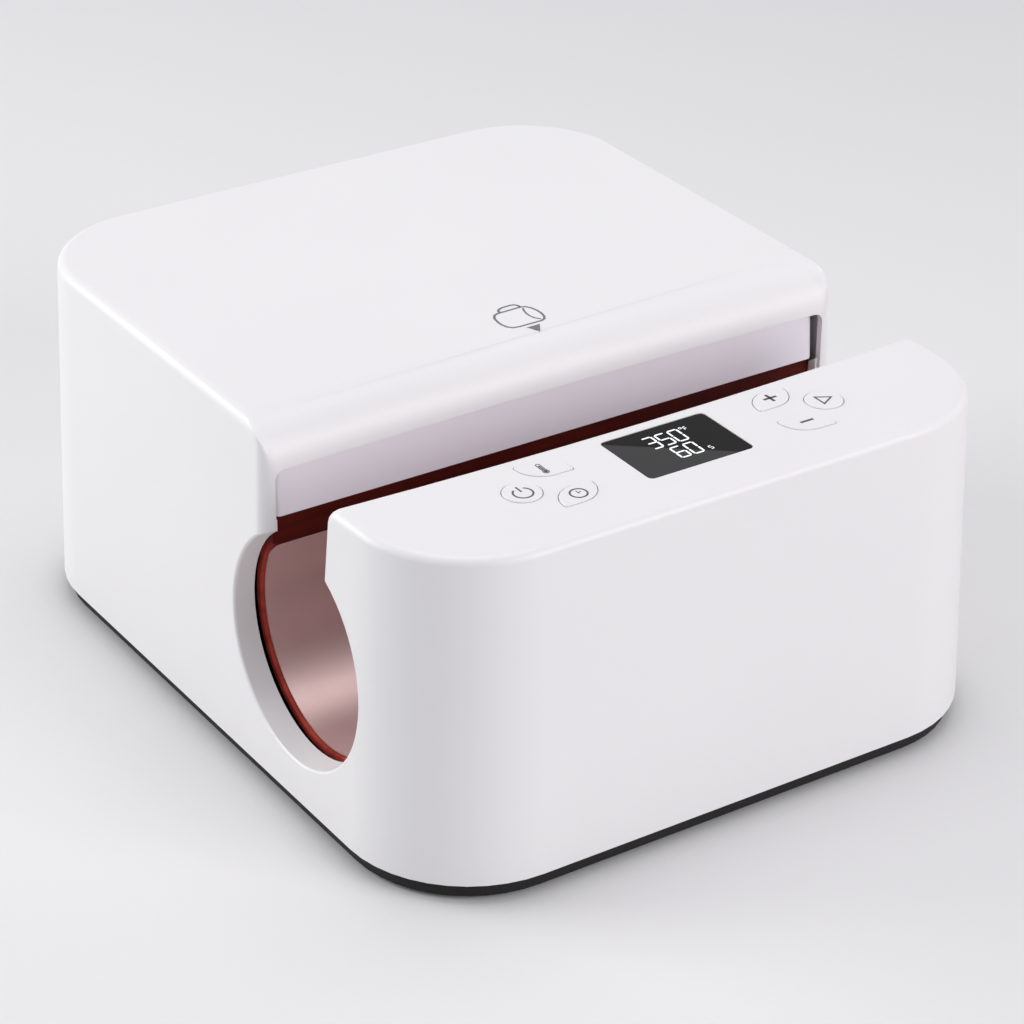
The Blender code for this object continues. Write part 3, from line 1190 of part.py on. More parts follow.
def build_motor():
    """Gear motor on its own bracket: gearbox, motor can and the bent plate."""
    gearbox = rod("gearbox", GEARBOX_RADIUS, GEARBOX_LENGTH, "Y", (0.0, MOTOR_MOUTH_Y, AXIS_Z),
                  "dark_metal", sides=ROUND_SIDES)
    boolean(gearbox, rod("gearbox_bore", MOTOR_SHAFT_RADIUS + FIT_GAP, GEARBOX_BORE_DEPTH + OVERRUN, "Y",
                         (0.0, MOTOR_MOUTH_Y - OVERRUN, AXIS_Z)))
    rod("motor", MOTOR_RADIUS, MOTOR_LENGTH, "Y", (0.0, MOTOR_MOUTH_Y + GEARBOX_LENGTH + FIT_GAP, AXIS_Z),
        "steel", sides=ROUND_SIDES)
    top = AXIS_Z + GEARBOX_RADIUS + DRIVE_SHEET
    outline = [(0.0, BRACKET_Z), (MOTOR_WALL_FOOT, BRACKET_Z), (MOTOR_WALL_FOOT, BRACKET_Z + DRIVE_SHEET),
               (DRIVE_SHEET, BRACKET_Z + DRIVE_SHEET), (DRIVE_SHEET, top), (0.0, top)]
    bracket = plate("motor_bracket", outline, MOTOR_WALL_WIDTH, "X", (0.0, MOTOR_WALL_Y, 0.0), "steel")
    boolean(bracket, rod("motor_hole", MOTOR_SHAFT_RADIUS * 2, DRIVE_SHEET + OVERRUN * 2, "Y",
                         (0.0, MOTOR_WALL_Y - OVERRUN, AXIS_Z)))


def build_drive_bracket():
    """The fixed steel wall that carries the bushings and the screw's bearing."""
    top = BRACKET_Z + DRIVE_HEIGHT
    outline = [(0.0, BRACKET_Z), (DRIVE_FOOT, BRACKET_Z), (DRIVE_FOOT, BRACKET_Z + DRIVE_SHEET),
               (DRIVE_SHEET, BRACKET_Z + DRIVE_SHEET), (DRIVE_SHEET, top), (0.0, top)]
    bracket = plate("drive_bracket", outline, DRIVE_WIDTH, "X", (0.0, DRIVE_WALL_Y, 0.0), "steel")
    low = BRACKET_Z + DRIVE_SHEET / 2
    near = DRIVE_SHEET / 2
    web = [(near, low), (DRIVE_FOOT, low), (near, low + GUSSET_HEIGHT)]
    webs = [plate(f"gusset_{i}", web, DRIVE_SHEET, "X", (x, DRIVE_WALL_Y, 0.0))
            for i, x in enumerate((-GUSSET_X, GUSSET_X))]
    join(bracket, merge("gussets", webs))
    start = DRIVE_WALL_Y - OVERRUN
    through = DRIVE_SHEET + OVERRUN * 2
    holes = [rod("bearing_hole", BEARING_RADIUS + FIT_GAP, through, "Y", (0.0, start, AXIS_Z),
                 sides=ROUND_SIDES)]
    for index, x in enumerate((-ROD_X, ROD_X)):
        holes.append(rod(f"bushing_hole_{index}", BUSHING_RADIUS + FIT_GAP, through, "Y",
                         (x, start, AXIS_Z)))
    boolean(bracket, merge("drive_holes", holes))


def build_position_sensor():
    """A slotted light sensor on the drive bracket, which the carriage's flag enters."""
    back = DRIVE_WALL_Y - FIT_GAP
    z = AXIS_Z - SENSOR_DROP
    sensor = box("position_sensor", SENSOR_SIZE, (FLAG_X, back - SENSOR_SIZE[1] / 2, z), "black_plastic")
    front = back - SENSOR_SIZE[1]
    boolean(sensor, box("sensor_slot", (SENSOR_SLOT, SENSOR_SLOT_DEPTH + OVERRUN, SENSOR_SIZE[2] * 2),
                        (FLAG_X, front + (SENSOR_SLOT_DEPTH - OVERRUN) / 2, z)))


def front_plate_y():
    """The rear face of the front heater's back plate."""
    return MUG_AXIS_Y - SADDLE_RADIUS


def build_front_bracket():
    """The fixed bracket of the front heater half: a bent plate with four ribs."""
    face = front_plate_y()
    top = HOUSING_BOTTOM + FRONT_TOP
    outline = [(0.0, BRACKET_Z), (0.0, top), (-FRONT_PLATE, top), (-FRONT_PLATE, BRACKET_Z + FRONT_PLATE),
               (-FRONT_FOOT, BRACKET_Z + FRONT_PLATE), (-FRONT_FOOT, BRACKET_Z)]
    bracket = plate("front_bracket", outline, SADDLE_LENGTH, "X", (0.0, face, 0.0), "steel")
    root = face - FRONT_PLATE / 2 - MUG_AXIS_Y
    low_y = SADDLE_RADIUS * math.cos(FRONT_LOW_ANGLE)
    low_z = HOUSING_BOTTOM + FRONT_RIB_LOW - AXIS_Z
    high_z = HOUSING_BOTTOM + FRONT_RIB_TOP - AXIS_Z
    rib = [(-y, z) for y, z in heater_line(SADDLE_RADIUS, math.pi - FRONT_LOW_ANGLE, high_z)]
    rib += [(root, high_z), (root, low_z), (low_y, low_z)]
    ribs = [plate(f"front_rib_{i}", rib, SADDLE_THICKNESS, "X", (x, MUG_AXIS_Y, AXIS_Z))
            for i, x in enumerate(RIB_X)]
    join(bracket, merge("front_ribs", ribs))


def build_power_electronics():
    """Power board on the tray's posts, with its transformer and heat sink."""
    low = TRAY_INSIDE + POWER_BOARD_RISE + FIT_GAP
    top = low + BOARD_THICKNESS
    box("power_board", (*POWER_BOARD_SIZE, BOARD_THICKNESS), (POWER_BOARD_X, POWER_BOARD_Y, (low + top) / 2),
        "circuit_board")
    base = top + FIT_GAP
    dx, dy = TRANSFORMER_OFFSET
    box("transformer", TRANSFORMER_SIZE,
        (POWER_BOARD_X + dx, POWER_BOARD_Y + dy, base + TRANSFORMER_SIZE[2] / 2), "dark_metal")
    width, depth, height = SINK_SIZE
    dx, dy = SINK_OFFSET
    outline = [(-width / 2, 0.0), (width / 2, 0.0)]
    gap = (width - SINK_FIN * SINK_FINS) / (SINK_FINS - 1)
    right = width / 2
    for fin in range(SINK_FINS):
        outline += [(right, depth), (right - SINK_FIN, depth)]
        if fin < SINK_FINS - 1:
            outline += [(right - SINK_FIN, SINK_BASE), (right - SINK_FIN - gap, SINK_BASE)]
        right -= SINK_FIN + gap
    plate("heat_sink", outline, height, "Z",
          (POWER_BOARD_X + dx, POWER_BOARD_Y + dy - depth / 2, base + height / 2), "aluminium")


def inlet_place():
    """Where the inlet's centre meets the leaning back wall."""
    return (INLET_X, HOUSING_DEPTH / 2 - WALL_LEAN * INLET_HEIGHT, HOUSING_BOTTOM + INLET_HEIGHT)


def build_mains_inlet():
    """The three-pin mains inlet, let in square to the leaning back wall."""
    mount = bpy.data.objects.new("inlet_mount", None)
    PARTS.objects.link(mount)
    mount.location = inlet_place()
    mount.rotation_euler = (math.atan(WALL_LEAN), 0.0, 0.0)
    seat = FIT_GAP - INLET_RECESS
    face = seat + INLET_FLANGE[1]
    inlet = box("mains_inlet", INLET_FLANGE, (0.0, seat + INLET_FLANGE[1] / 2, 0.0), "black_plastic")
    body = box("inlet_body", (INLET_BODY[0], INLET_BODY[1] + INLET_FLANGE[1] / 2, INLET_BODY[2]),
               (0.0, face - INLET_FLANGE[1] / 2 - (INLET_BODY[1] + INLET_FLANGE[1] / 2) / 2, 0.0))
    socket = box("inlet_socket", (SOCKET_SIZE[0], SOCKET_SIZE[1] + OVERRUN, SOCKET_SIZE[2]),
                 (0.0, face - SOCKET_SIZE[1] + (SOCKET_SIZE[1] + OVERRUN) / 2, 0.0))
    pins = (("pin_line", -PIN_SPACING, -PIN_OFFSET), ("pin_neutral", PIN_SPACING, -PIN_OFFSET),
            ("pin_earth", 0.0, PIN_OFFSET))
    slots = []
    for name, x, z in pins:
        centre_y = face - PIN_SETBACK - PIN_SIZE[1] / 2
        pin = box(name, PIN_SIZE, (x, centre_y, z), "brass")
        pin.parent = mount
        size = (PIN_SIZE[0] + FIT_GAP * 2, PIN_SIZE[1] + OVERRUN, PIN_SIZE[2] + FIT_GAP * 2)
        slots.append(box(f"slot_{name}", size, (x, centre_y, z)))
    pin_slots = merge("pin_slots", slots)
    for piece in (inlet, body, socket, pin_slots):
        piece.parent = mount
    join(inlet, body)
    boolean(inlet, socket)
    boolean(inlet, pin_slots)


build_housing()
build_display_window()
build_control_electronics()
build_buttons()
build_tray()
build_feet_and_screws()
build_rear_heater()
build_front_heater()
build_carriage_frame()
build_shield_panel()
build_nut_bracket()
build_guides()
build_screw_drive()
build_motor()
build_drive_bracket()
build_position_sensor()
build_front_bracket()
build_power_electronics()
build_mains_inlet()
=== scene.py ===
import math

import bmesh
import bpy
from mathutils import Matrix, Vector


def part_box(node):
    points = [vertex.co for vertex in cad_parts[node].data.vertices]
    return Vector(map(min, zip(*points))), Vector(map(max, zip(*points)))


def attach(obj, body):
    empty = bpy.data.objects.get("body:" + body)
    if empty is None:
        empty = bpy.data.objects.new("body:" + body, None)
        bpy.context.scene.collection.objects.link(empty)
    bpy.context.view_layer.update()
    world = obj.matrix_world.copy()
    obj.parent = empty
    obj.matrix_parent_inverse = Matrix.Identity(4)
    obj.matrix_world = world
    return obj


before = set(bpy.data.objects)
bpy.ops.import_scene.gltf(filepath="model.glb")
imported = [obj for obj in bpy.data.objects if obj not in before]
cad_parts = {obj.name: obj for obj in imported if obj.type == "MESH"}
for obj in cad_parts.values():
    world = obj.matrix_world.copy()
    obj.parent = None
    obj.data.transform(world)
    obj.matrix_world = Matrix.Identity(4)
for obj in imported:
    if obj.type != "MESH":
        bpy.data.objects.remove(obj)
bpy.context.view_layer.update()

# Housing: one large injection moulding in white ABS with a fine spark-eroded grain.
# It is the casing behind the slot and the control block in front, with a mug mouth in
# each side, and it is held down on the tray by four screws from below.
MM = 0.001
WHITE = (0.840, 0.832, 0.837)
WHITE_SHADE = (0.800, 0.792, 0.798)
WHITE_ROUGHNESS = 0.40
MOULD_GRAIN = 2600.0
MOULD_RELIEF = 0.012 * MM
MOULD_DRIFT = 9.0
EDGE_ROUND = 0.8 * MM
EDGE_STEPS = 3
EDGE_ANGLE = 40.0
FLAT_ANGLE = 0.4
SPLIT_ANGLE = 32.0
WELD_DISTANCE = 0.002 * MM


def new_material(name):
    """An empty node material with its Principled shader."""
    material = bpy.data.materials.new(name)
    material.use_nodes = True
    tree = material.node_tree
    return material, tree, tree.nodes["Principled BSDF"]


def add_node(tree, kind, **settings):
    """A node with its options set."""
    made = tree.nodes.new(kind)
    for key, value in settings.items():
        setattr(made, key, value)
    return made


def maths(tree, operation, first, second=None):
    """A maths node fed by sockets or plain numbers."""
    made = add_node(tree, "ShaderNodeMath", operation=operation)
    for socket, value in zip(made.inputs, (first, second)):
        if isinstance(value, (int, float)):
            socket.default_value = value
        elif value is not None:
            tree.links.new(value, socket)
    return made.outputs[0]


def start_group(name, inputs, outputs):
    """A shader node group with named sockets."""
    tree = bpy.data.node_groups.new(name, "ShaderNodeTree")
    for label, kind in inputs:
        tree.interface.new_socket(label, in_out="INPUT", socket_type="NodeSocket" + kind)
    for label, kind in outputs:
        tree.interface.new_socket(label, in_out="OUTPUT", socket_type="NodeSocket" + kind)
    return tree, tree.nodes.new("NodeGroupInput"), tree.nodes.new("NodeGroupOutput")


def moulded_grain_group():
    """Spark-eroded grain with slow drifts of tone and gloss, as on any large moulding."""
    tree, given, result = start_group(
        "moulded_grain",
        [("Colour", "Color"), ("Shade", "Color"), ("Grain", "Float"), ("Drift", "Float"),
         ("Roughness", "Float"), ("Gloss Change", "Float")],
        [("Colour", "Color"), ("Roughness", "Float"), ("Height", "Float")])
    place = add_node(tree, "ShaderNodeTexCoord").outputs["Object"]
    grain = add_node(tree, "ShaderNodeTexNoise")
    grain.inputs["Detail"].default_value = 3.0
    drift = add_node(tree, "ShaderNodeTexNoise")
    drift.inputs["Detail"].default_value = 2.0
    for texture, source in ((grain, "Grain"), (drift, "Drift")):
        tree.links.new(place, texture.inputs["Vector"])
        tree.links.new(given.outputs[source], texture.inputs["Scale"])
    mix = add_node(tree, "ShaderNodeMix", data_type="RGBA")
    tree.links.new(drift.outputs["Fac"], mix.inputs["Factor"])
    tree.links.new(given.outputs["Colour"], mix.inputs[6])
    tree.links.new(given.outputs["Shade"], mix.inputs[7])
    both = maths(tree, "ADD", drift.outputs["Fac"], grain.outputs["Fac"])
    change = maths(tree, "MULTIPLY", maths(tree, "SUBTRACT", both, 1.0),
                   given.outputs["Gloss Change"])
    tree.links.new(mix.outputs[2], result.inputs["Colour"])
    tree.links.new(maths(tree, "ADD", given.outputs["Roughness"], change),
                   result.inputs["Roughness"])
    tree.links.new(grain.outputs["Fac"], result.inputs["Height"])
    return tree


moulded_grain = moulded_grain_group()


def place_group(tree, group, shader, bump, **values):
    """Put a finish group in a material and wire it to the shader and a bump."""
    made = add_node(tree, "ShaderNodeGroup", node_tree=group)
    for label, value in values.items():
        socket = made.inputs[label.replace("_", " ")]
        socket.default_value = (*value, 1.0) if socket.type == "RGBA" else value
    tree.links.new(made.outputs["Colour"], shader.inputs["Base Color"])
    tree.links.new(made.outputs["Roughness"], shader.inputs["Roughness"])
    relief = add_node(tree, "ShaderNodeBump")
    relief.inputs["Strength"].default_value = 1.0
    relief.inputs["Distance"].default_value = bump
    tree.links.new(made.outputs["Height"], relief.inputs["Height"])
    tree.links.new(relief.outputs["Normal"], shader.inputs["Normal"])
    return made


def moulding(name, colour, shade, roughness, grain=MOULD_GRAIN, bump=MOULD_RELIEF, metallic=0.0):
    """A moulded or cast finish."""
    material, tree, shader = new_material(name)
    place_group(tree, moulded_grain, shader, bump, Colour=colour, Shade=shade, Grain=grain,
                Drift=MOULD_DRIFT, Roughness=roughness, Gloss_Change=0.06)
    shader.inputs["Metallic"].default_value = metallic
    return material


def dress(node, material, split=SPLIT_ANGLE):
    """Give a CAD node its finish and smooth shading that stops at its real edges."""
    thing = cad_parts[node]
    mesh = thing.data
    mesh.materials.clear()
    mesh.materials.append(material)
    if "custom_normal" in mesh.attributes:
        mesh.attributes.remove(mesh.attributes["custom_normal"])
    mesh.polygons.foreach_set("use_smooth", [True] * len(mesh.polygons))
    mesh.polygons.foreach_set("material_index", [0] * len(mesh.polygons))
    weld = thing.modifiers.new("weld", "WELD")
    weld.merge_threshold = WELD_DISTANCE
    edges = thing.modifiers.new("edges", "EDGE_SPLIT")
    edges.split_angle = math.radians(split)
    evened = thing.modifiers.new("evened", "WEIGHTED_NORMAL")
    evened.keep_sharp = True
    return thing


def round_edges(thing, radius):
    """Round a moulding's sharp edges a little, after its flat faces are made whole."""
    flats = thing.modifiers.new("flats", "DECIMATE")
    flats.decimate_type = "DISSOLVE"
    flats.angle_limit = math.radians(FLAT_ANGLE)
    rounding = thing.modifiers.new("rounding", "BEVEL")
    rounding.width = radius
    rounding.segments = EDGE_STEPS
    rounding.limit_method = "ANGLE"
    rounding.angle_limit = math.radians(EDGE_ANGLE)
    rounding.harden_normals = True
    thing.modifiers.move(thing.modifiers.find("flats"), 1)
    thing.modifiers.move(thing.modifiers.find("rounding"), 2)


white_moulding = moulding("white_moulding", WHITE, WHITE_SHADE, WHITE_ROUGHNESS)
round_edges(dress("housing", white_moulding), EDGE_ROUND)

# Mug pictogram: a sign of the slot's use, pad-printed in grey ink on the casing's top.
# It shows a mug on its side and an arrow that points to the slot.
INK = (0.165, 0.165, 0.170)
INK_SHADE = (0.130, 0.130, 0.135)
INK_HEIGHT = 0.05 * MM
INK_SINK = 0.03 * MM
INK_ROUGHNESS = 0.50
INK_GRAIN = 5200.0
INK_RELIEF = 0.004 * MM
PICTOGRAM_LINE = 1.05 * MM


def ribbon(points, width, closed=False):
    """Quads along a line of plan points, mitred at its bends."""
    count = len(points)
    sides = []
    for i, (x, y) in enumerate(points):
        before = points[i - 1] if closed or i else points[i]
        after = points[(i + 1) % count] if closed or i < count - 1 else points[i]
        turns = []
        for (ax, ay), (bx, by) in ((before, (x, y)), ((x, y), after)):
            length = math.hypot(bx - ax, by - ay)
            if length > 0.0:
                turns.append(Vector((ay - by, bx - ax)) / length)
        normal = sum(turns, Vector((0.0, 0.0))).normalized()
        reach = width / 2 / max(0.5, normal.dot(turns[0]))
        sides.append(((x + normal.x * reach, y + normal.y * reach),
                      (x - normal.x * reach, y - normal.y * reach)))
    if closed:
        sides.append(sides[0])
    return [(a[0], a[1], b[1], b[0]) for a, b in zip(sides[:-1], sides[1:])]


def circle(x, y, radius, start=0.0, sweep=360.0, steps=40):
    """Plan points along a circle."""
    return [(x + radius * math.cos(math.radians(start + sweep * i / steps)),
             y + radius * math.sin(math.radians(start + sweep * i / steps))) for i in range(steps + 1)]


def printed(name, faces, top, body, material):
    """Printed marks: thin flat shapes let a little into a surface and riding with it."""
    bm = bmesh.new()
    for outline in faces:
        bm.faces.new([bm.verts.new((x, y, top - INK_SINK)) for x, y in outline])
    bmesh.ops.recalc_face_normals(bm, faces=bm.faces)
    raised = bmesh.ops.extrude_face_region(bm, geom=list(bm.faces))["geom"]
    lift = [v for v in raised if isinstance(v, bmesh.types.BMVert)]
    bmesh.ops.translate(bm, verts=lift, vec=(0.0, 0.0, INK_SINK + INK_HEIGHT))
    bmesh.ops.recalc_face_normals(bm, faces=bm.faces)
    mesh = bpy.data.meshes.new(name)
    bm.to_mesh(mesh)
    bm.free()
    mesh.materials.append(material)
    thing = bpy.data.objects.new(name, mesh)
    bpy.context.scene.collection.objects.link(thing)
    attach(thing, body)
    return thing


def moved_by(faces, x, y):
    """The same outlines at another place."""
    return [[(px + x, py + y) for px, py in outline] for outline in faces]


def mug_pictogram():
    """A mug on its side with its mouth to the right, its handle to the back, and an arrow
    to the front; given in millimetres on the casing's top."""
    body = [(5.4, -7.6), (-6.2, -7.8), (-8.2, -8.8), (-9.6, -11.0), (-10.3, -14.6), (-10.3, -17.6),
            (-9.6, -20.3), (-7.9, -22.2), (-5.4, -22.8), (5.6, -22.8), (7.6, -21.9), (8.8, -19.8),
            (9.4, -16.6), (9.3, -13.4), (8.5, -10.3), (7.2, -8.3)]
    rim = [(5.6, -9.0), (4.6, -11.2), (4.0, -14.0), (4.0, -16.6), (4.6, -19.2), (6.2, -21.4)]
    handle = [(-4.9, -7.4), (-4.4, -5.8), (-3.2, -4.7), (-1.4, -4.1), (2.8, -4.0), (4.4, -4.6),
              (5.2, -5.9), (5.3, -7.4)]
    arrow = [(-3.4, -25.0), (0.1, -30.0), (3.2, -25.0)]
    scaled = [[(x * MM, y * MM) for x, y in line] for line in (body, rim, handle, arrow)]
    faces = ribbon(scaled[0], PICTOGRAM_LINE, closed=True)
    faces += ribbon(scaled[1], PICTOGRAM_LINE * 0.8)
    faces += ribbon(scaled[2], PICTOGRAM_LINE)
    faces.append(scaled[3])
    return faces


ink = moulding("grey_ink", INK, INK_SHADE, INK_ROUGHNESS, INK_GRAIN, INK_RELIEF)
casing_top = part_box("housing")[1].z
printed("mug_pictogram", mug_pictogram(), casing_top, "press", ink)

# Keys: six small mouldings in the housing's white, each held behind the panel by its
# flange. Power and start are round, the other four are leaves in two pairs.
KEYS = ("power", "temperature", "timer", "plus", "minus", "start")
KEY_ROUGHNESS = 0.36
KEY_GRAIN = 3400.0
KEY_RELIEF = 0.008 * MM
key_moulding = moulding("key_moulding", WHITE, WHITE_SHADE, KEY_ROUGHNESS, KEY_GRAIN, KEY_RELIEF)
for key in KEYS:
    dress(f"button_{key}", key_moulding)

# Key marks: pad-printed in dark grey on the key caps, in lines of about half a millimetre.
# A ring and bar for power, a thermometer, a clock, plus, minus and a start triangle.
KEY_INK = (0.075, 0.075, 0.080)
KEY_INK_SHADE = (0.055, 0.055, 0.060)
MARK_LINE = 0.75 * MM
POWER_RING = 3.9 * MM
POWER_BAR = 4.2 * MM
POWER_BAR_SHIFT = 3.1 * MM
TUBE_LINE = 0.45 * MM
TUBE_RADIUS = 0.8 * MM
TUBE_SHIFT = 3.0 * MM
BULB_RADIUS = 1.2 * MM
BULB_SHIFT = -2.8 * MM
LIQUID_WIDTH = 0.7 * MM
LIQUID_LENGTH = 5.2 * MM
LIQUID_SHIFT = -0.2 * MM
CLOCK_RING = 3.4 * MM
CLOCK_HANDS = ((0.0, 2.1 * MM), (0.0, 0.0), (1.5 * MM, 1.0 * MM))
HAND_LINE = 0.40 * MM
SIGN_LENGTH = 6.2 * MM
SIGN_LINE = 1.25 * MM
START_CORNERS = ((-2.2 * MM, 3.3 * MM), (3.6 * MM, 0.0), (-2.2 * MM, -3.3 * MM))


def bar(x, y, wide, deep):
    """A plain bar as one outline."""
    return [(x - wide / 2, y - deep / 2), (x + wide / 2, y - deep / 2),
            (x + wide / 2, y + deep / 2), (x - wide / 2, y + deep / 2)]


def power_mark():
    """A ring open at the back with a bar in its gap."""
    faces = ribbon(circle(0.0, 0.0, POWER_RING, 122.0, 296.0), MARK_LINE)
    faces.append(bar(0.0, POWER_BAR_SHIFT, MARK_LINE, POWER_BAR))
    return faces


def thermometer_mark():
    """A thermometer: a rounded tube over a bulb, with a line of liquid in it."""
    tube = circle(0.0, TUBE_SHIFT, TUBE_RADIUS, 0.0, 180.0, 10)
    bulb = circle(0.0, BULB_SHIFT, BULB_RADIUS, 132.0, 276.0, 20)
    faces = ribbon(tube + bulb, TUBE_LINE, closed=True)
    faces.append(bar(0.0, LIQUID_SHIFT, LIQUID_WIDTH, LIQUID_LENGTH))
    faces.append(circle(0.0, BULB_SHIFT, TUBE_RADIUS, 0.0, 345.0, 15))
    return faces


def clock_mark():
    """A dial with two hands."""
    faces = ribbon(circle(0.0, 0.0, CLOCK_RING)[:-1], MARK_LINE, closed=True)
    faces += ribbon(CLOCK_HANDS, HAND_LINE)
    return faces


def plus_mark():
    """Two crossed bars."""
    return [bar(0.0, 0.0, SIGN_LENGTH, SIGN_LINE), bar(0.0, 0.0, SIGN_LINE, SIGN_LENGTH)]


def minus_mark():
    """One bar."""
    return [bar(0.0, 0.0, SIGN_LENGTH, SIGN_LINE)]


def start_mark():
    """A triangle in outline, pointing right."""
    return ribbon(START_CORNERS, MARK_LINE, closed=True)


key_ink = moulding("key_ink", KEY_INK, KEY_INK_SHADE, INK_ROUGHNESS, INK_GRAIN, INK_RELIEF)
MARKS = {
    "power": (power_mark, (-0.2 * MM, -1.0 * MM)),
    "temperature": (thermometer_mark, (-0.9 * MM, -0.4 * MM)),
    "timer": (clock_mark, (-0.1 * MM, -0.5 * MM)),
    "plus": (plus_mark, (-0.1 * MM, 0.4 * MM)),
    "minus": (minus_mark, (0.3 * MM, 0.5 * MM)),
    "start": (start_mark, (0.0, 0.0)),
}
for key, (draw, shift) in MARKS.items():
    low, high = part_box(f"button_{key}")
    middle = (low + high) / 2
    printed(f"mark_{key}", moved_by(draw(), middle.x + shift[0], middle.y + shift[1]), high.z,
            f"key_{key}", key_ink)

# Display: a smoked acrylic window let in flush, its lower left half a tone lighter as a
# painted reflection that ends on a slant, and a segment display behind it that lights white.
WINDOW_DARK = (0.007, 0.007, 0.007)
# The lighter tone and its slanted edge are a painted reflection on the window.
WINDOW_REFLECTION = (0.046, 0.046, 0.047)
REFLECTION_SLANT = (0.62, 0.78, -99.9 * MM)
REFLECTION_BLEND = 0.4 * MM
LIT = (0.75, 0.77, 0.80)
LIT_SHADE = (0.70, 0.72, 0.76)
GLOW = (0.86, 0.88, 0.92, 1.0)
GLOW_STRENGTH = 0.60
DIGIT_LINE = 0.80 * MM
UNIT_LINE = 0.34 * MM
DIGIT_ROWS = (("350", -9.2 * MM, -123.2 * MM, 6.0 * MM, 5.1 * MM, 9.9 * MM),
              ("60", -4.2 * MM, -134.5 * MM, 6.1 * MM, 5.1 * MM, 9.5 * MM))
UNITS = (("F", 10.5 * MM, -116.2 * MM, 1.6 * MM, 2.7 * MM),
         ("5", 9.6 * MM, -134.4 * MM, 1.7 * MM, 2.8 * MM))
DEGREE_PLACE = (9.4 * MM, -113.9 * MM)
DEGREE_RADIUS = 0.6 * MM
DEGREE_LINE = 0.3 * MM
SEGMENTS = {"0": "abcdef", "3": "abcdg", "5": "acdfg", "6": "acdefg", "F": "aefg"}


def window_finish():
    """Smoked acrylic with a painted reflection: its lower left a tone lighter, meeting the dark on a
    slant.
    """
    material, tree, shader = new_material("smoked_window")
    made = place_group(tree, moulded_grain, shader, 0.001 * MM, Colour=WINDOW_DARK,
                       Shade=WINDOW_DARK,
                       Grain=900.0, Drift=30.0, Roughness=0.22, Gloss_Change=0.03)
    place = add_node(tree, "ShaderNodeTexCoord").outputs["Object"]
    split = add_node(tree, "ShaderNodeSeparateXYZ")
    tree.links.new(place, split.inputs[0])
    slant = maths(tree, "ADD", maths(tree, "MULTIPLY", split.outputs["X"], REFLECTION_SLANT[0]),
                  maths(tree, "MULTIPLY", split.outputs["Y"], REFLECTION_SLANT[1]))
    edge = add_node(tree, "ShaderNodeMapRange")
    edge.inputs["From Min"].default_value = REFLECTION_SLANT[2] - REFLECTION_BLEND
    edge.inputs["From Max"].default_value = REFLECTION_SLANT[2] + REFLECTION_BLEND
    tree.links.new(slant, edge.inputs["Value"])
    # Painted reflection: the lighter tone on the lower left side of the slant.
    painted_reflection = add_node(tree, "ShaderNodeMix", data_type="RGBA")
    painted_reflection.inputs[6].default_value = (*WINDOW_REFLECTION, 1.0)
    tree.links.new(edge.outputs["Result"], painted_reflection.inputs["Factor"])
    tree.links.new(made.outputs["Colour"], painted_reflection.inputs[7])
    tree.links.new(painted_reflection.outputs[2], shader.inputs["Base Color"])
    shader.inputs["Specular IOR Level"].default_value = 0.05
    return material


dress("display_window", window_finish())


def digit(sign, x, y, wide, high, line):
    """One segment digit from its lower left corner: six-sided bars with small gaps."""
    ends = {"a": ((0, 2), (1, 2)), "b": ((1, 2), (1, 1)), "c": ((1, 1), (1, 0)), "d": ((0, 0),
                  (1, 0)),
            "e": ((0, 1), (0, 0)), "f": ((0, 2), (0, 1)), "g": ((0, 1), (1, 1))}
    faces = []
    for segment in SEGMENTS[sign]:
        (ax, ay), (bx, by) = ends[segment]
        start = Vector((x + line / 2 + ax * (wide - line), y + line / 2 + ay * (high - line) / 2))
        end = Vector((x + line / 2 + bx * (wide - line), y + line / 2 + by * (high - line) / 2))
        along = (end - start).normalized()
        across = Vector((-along.y, along.x)) * line / 2
        start += along * line * 0.12
        end -= along * line * 0.12
        near = start + along * line / 2
        far = end - along * line / 2
        faces.append([tuple(p) for p in (start, near - across, far - across, end, far + across,
                                         near + across)])
    return faces


lit = moulding("lit_segments", LIT, LIT_SHADE, 0.45, INK_GRAIN, INK_RELIEF / 2)
glow = lit.node_tree.nodes["Principled BSDF"]
glow.inputs["Emission Color"].default_value = GLOW
glow.inputs["Emission Strength"].default_value = GLOW_STRENGTH
figures = []
for signs, x, y, pitch, wide, high in DIGIT_ROWS:
    for i, sign in enumerate(signs):
        figures += digit(sign, x + pitch * i, y, wide, high, DIGIT_LINE)
figures += ribbon(circle(*DEGREE_PLACE, DEGREE_RADIUS, steps=14)[:-1], DEGREE_LINE, closed=True)
for sign, x, y, wide, high in UNITS:
    figures += digit(sign, x, y, wide, high, UNIT_LINE)
printed("display_figures", figures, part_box("display_window")[1].z, "press", lit)

# Shield panel: a lilac-white moulding clipped to the carriage, which closes the casing's
# front above the heating mat and moves with it.
LILAC = (0.900, 0.860, 0.930)
LILAC_SHADE = (0.880, 0.840, 0.910)
lilac_moulding = moulding("lilac_moulding", LILAC, LILAC_SHADE, 0.42)
dress("shield_panel", lilac_moulding)

# Heating mats: silicone rubber with the heating wires cast in, red and streaked along the
# mould. Each lies in its band, and its upper end bends in to a lip and an upright flap.
MAT_RED = (0.520, 0.075, 0.052)
MAT_DARK = (0.240, 0.028, 0.020)
# The flap above the lip is darkened with painted shade, as it lies in the shade of the slot.
FLAP_PAINTED_SHADE = (0.185, 0.115, 0.105, 1.0)
FLAP_HEIGHT = 101.0 * MM
FLAP_BLEND = 2.0 * MM


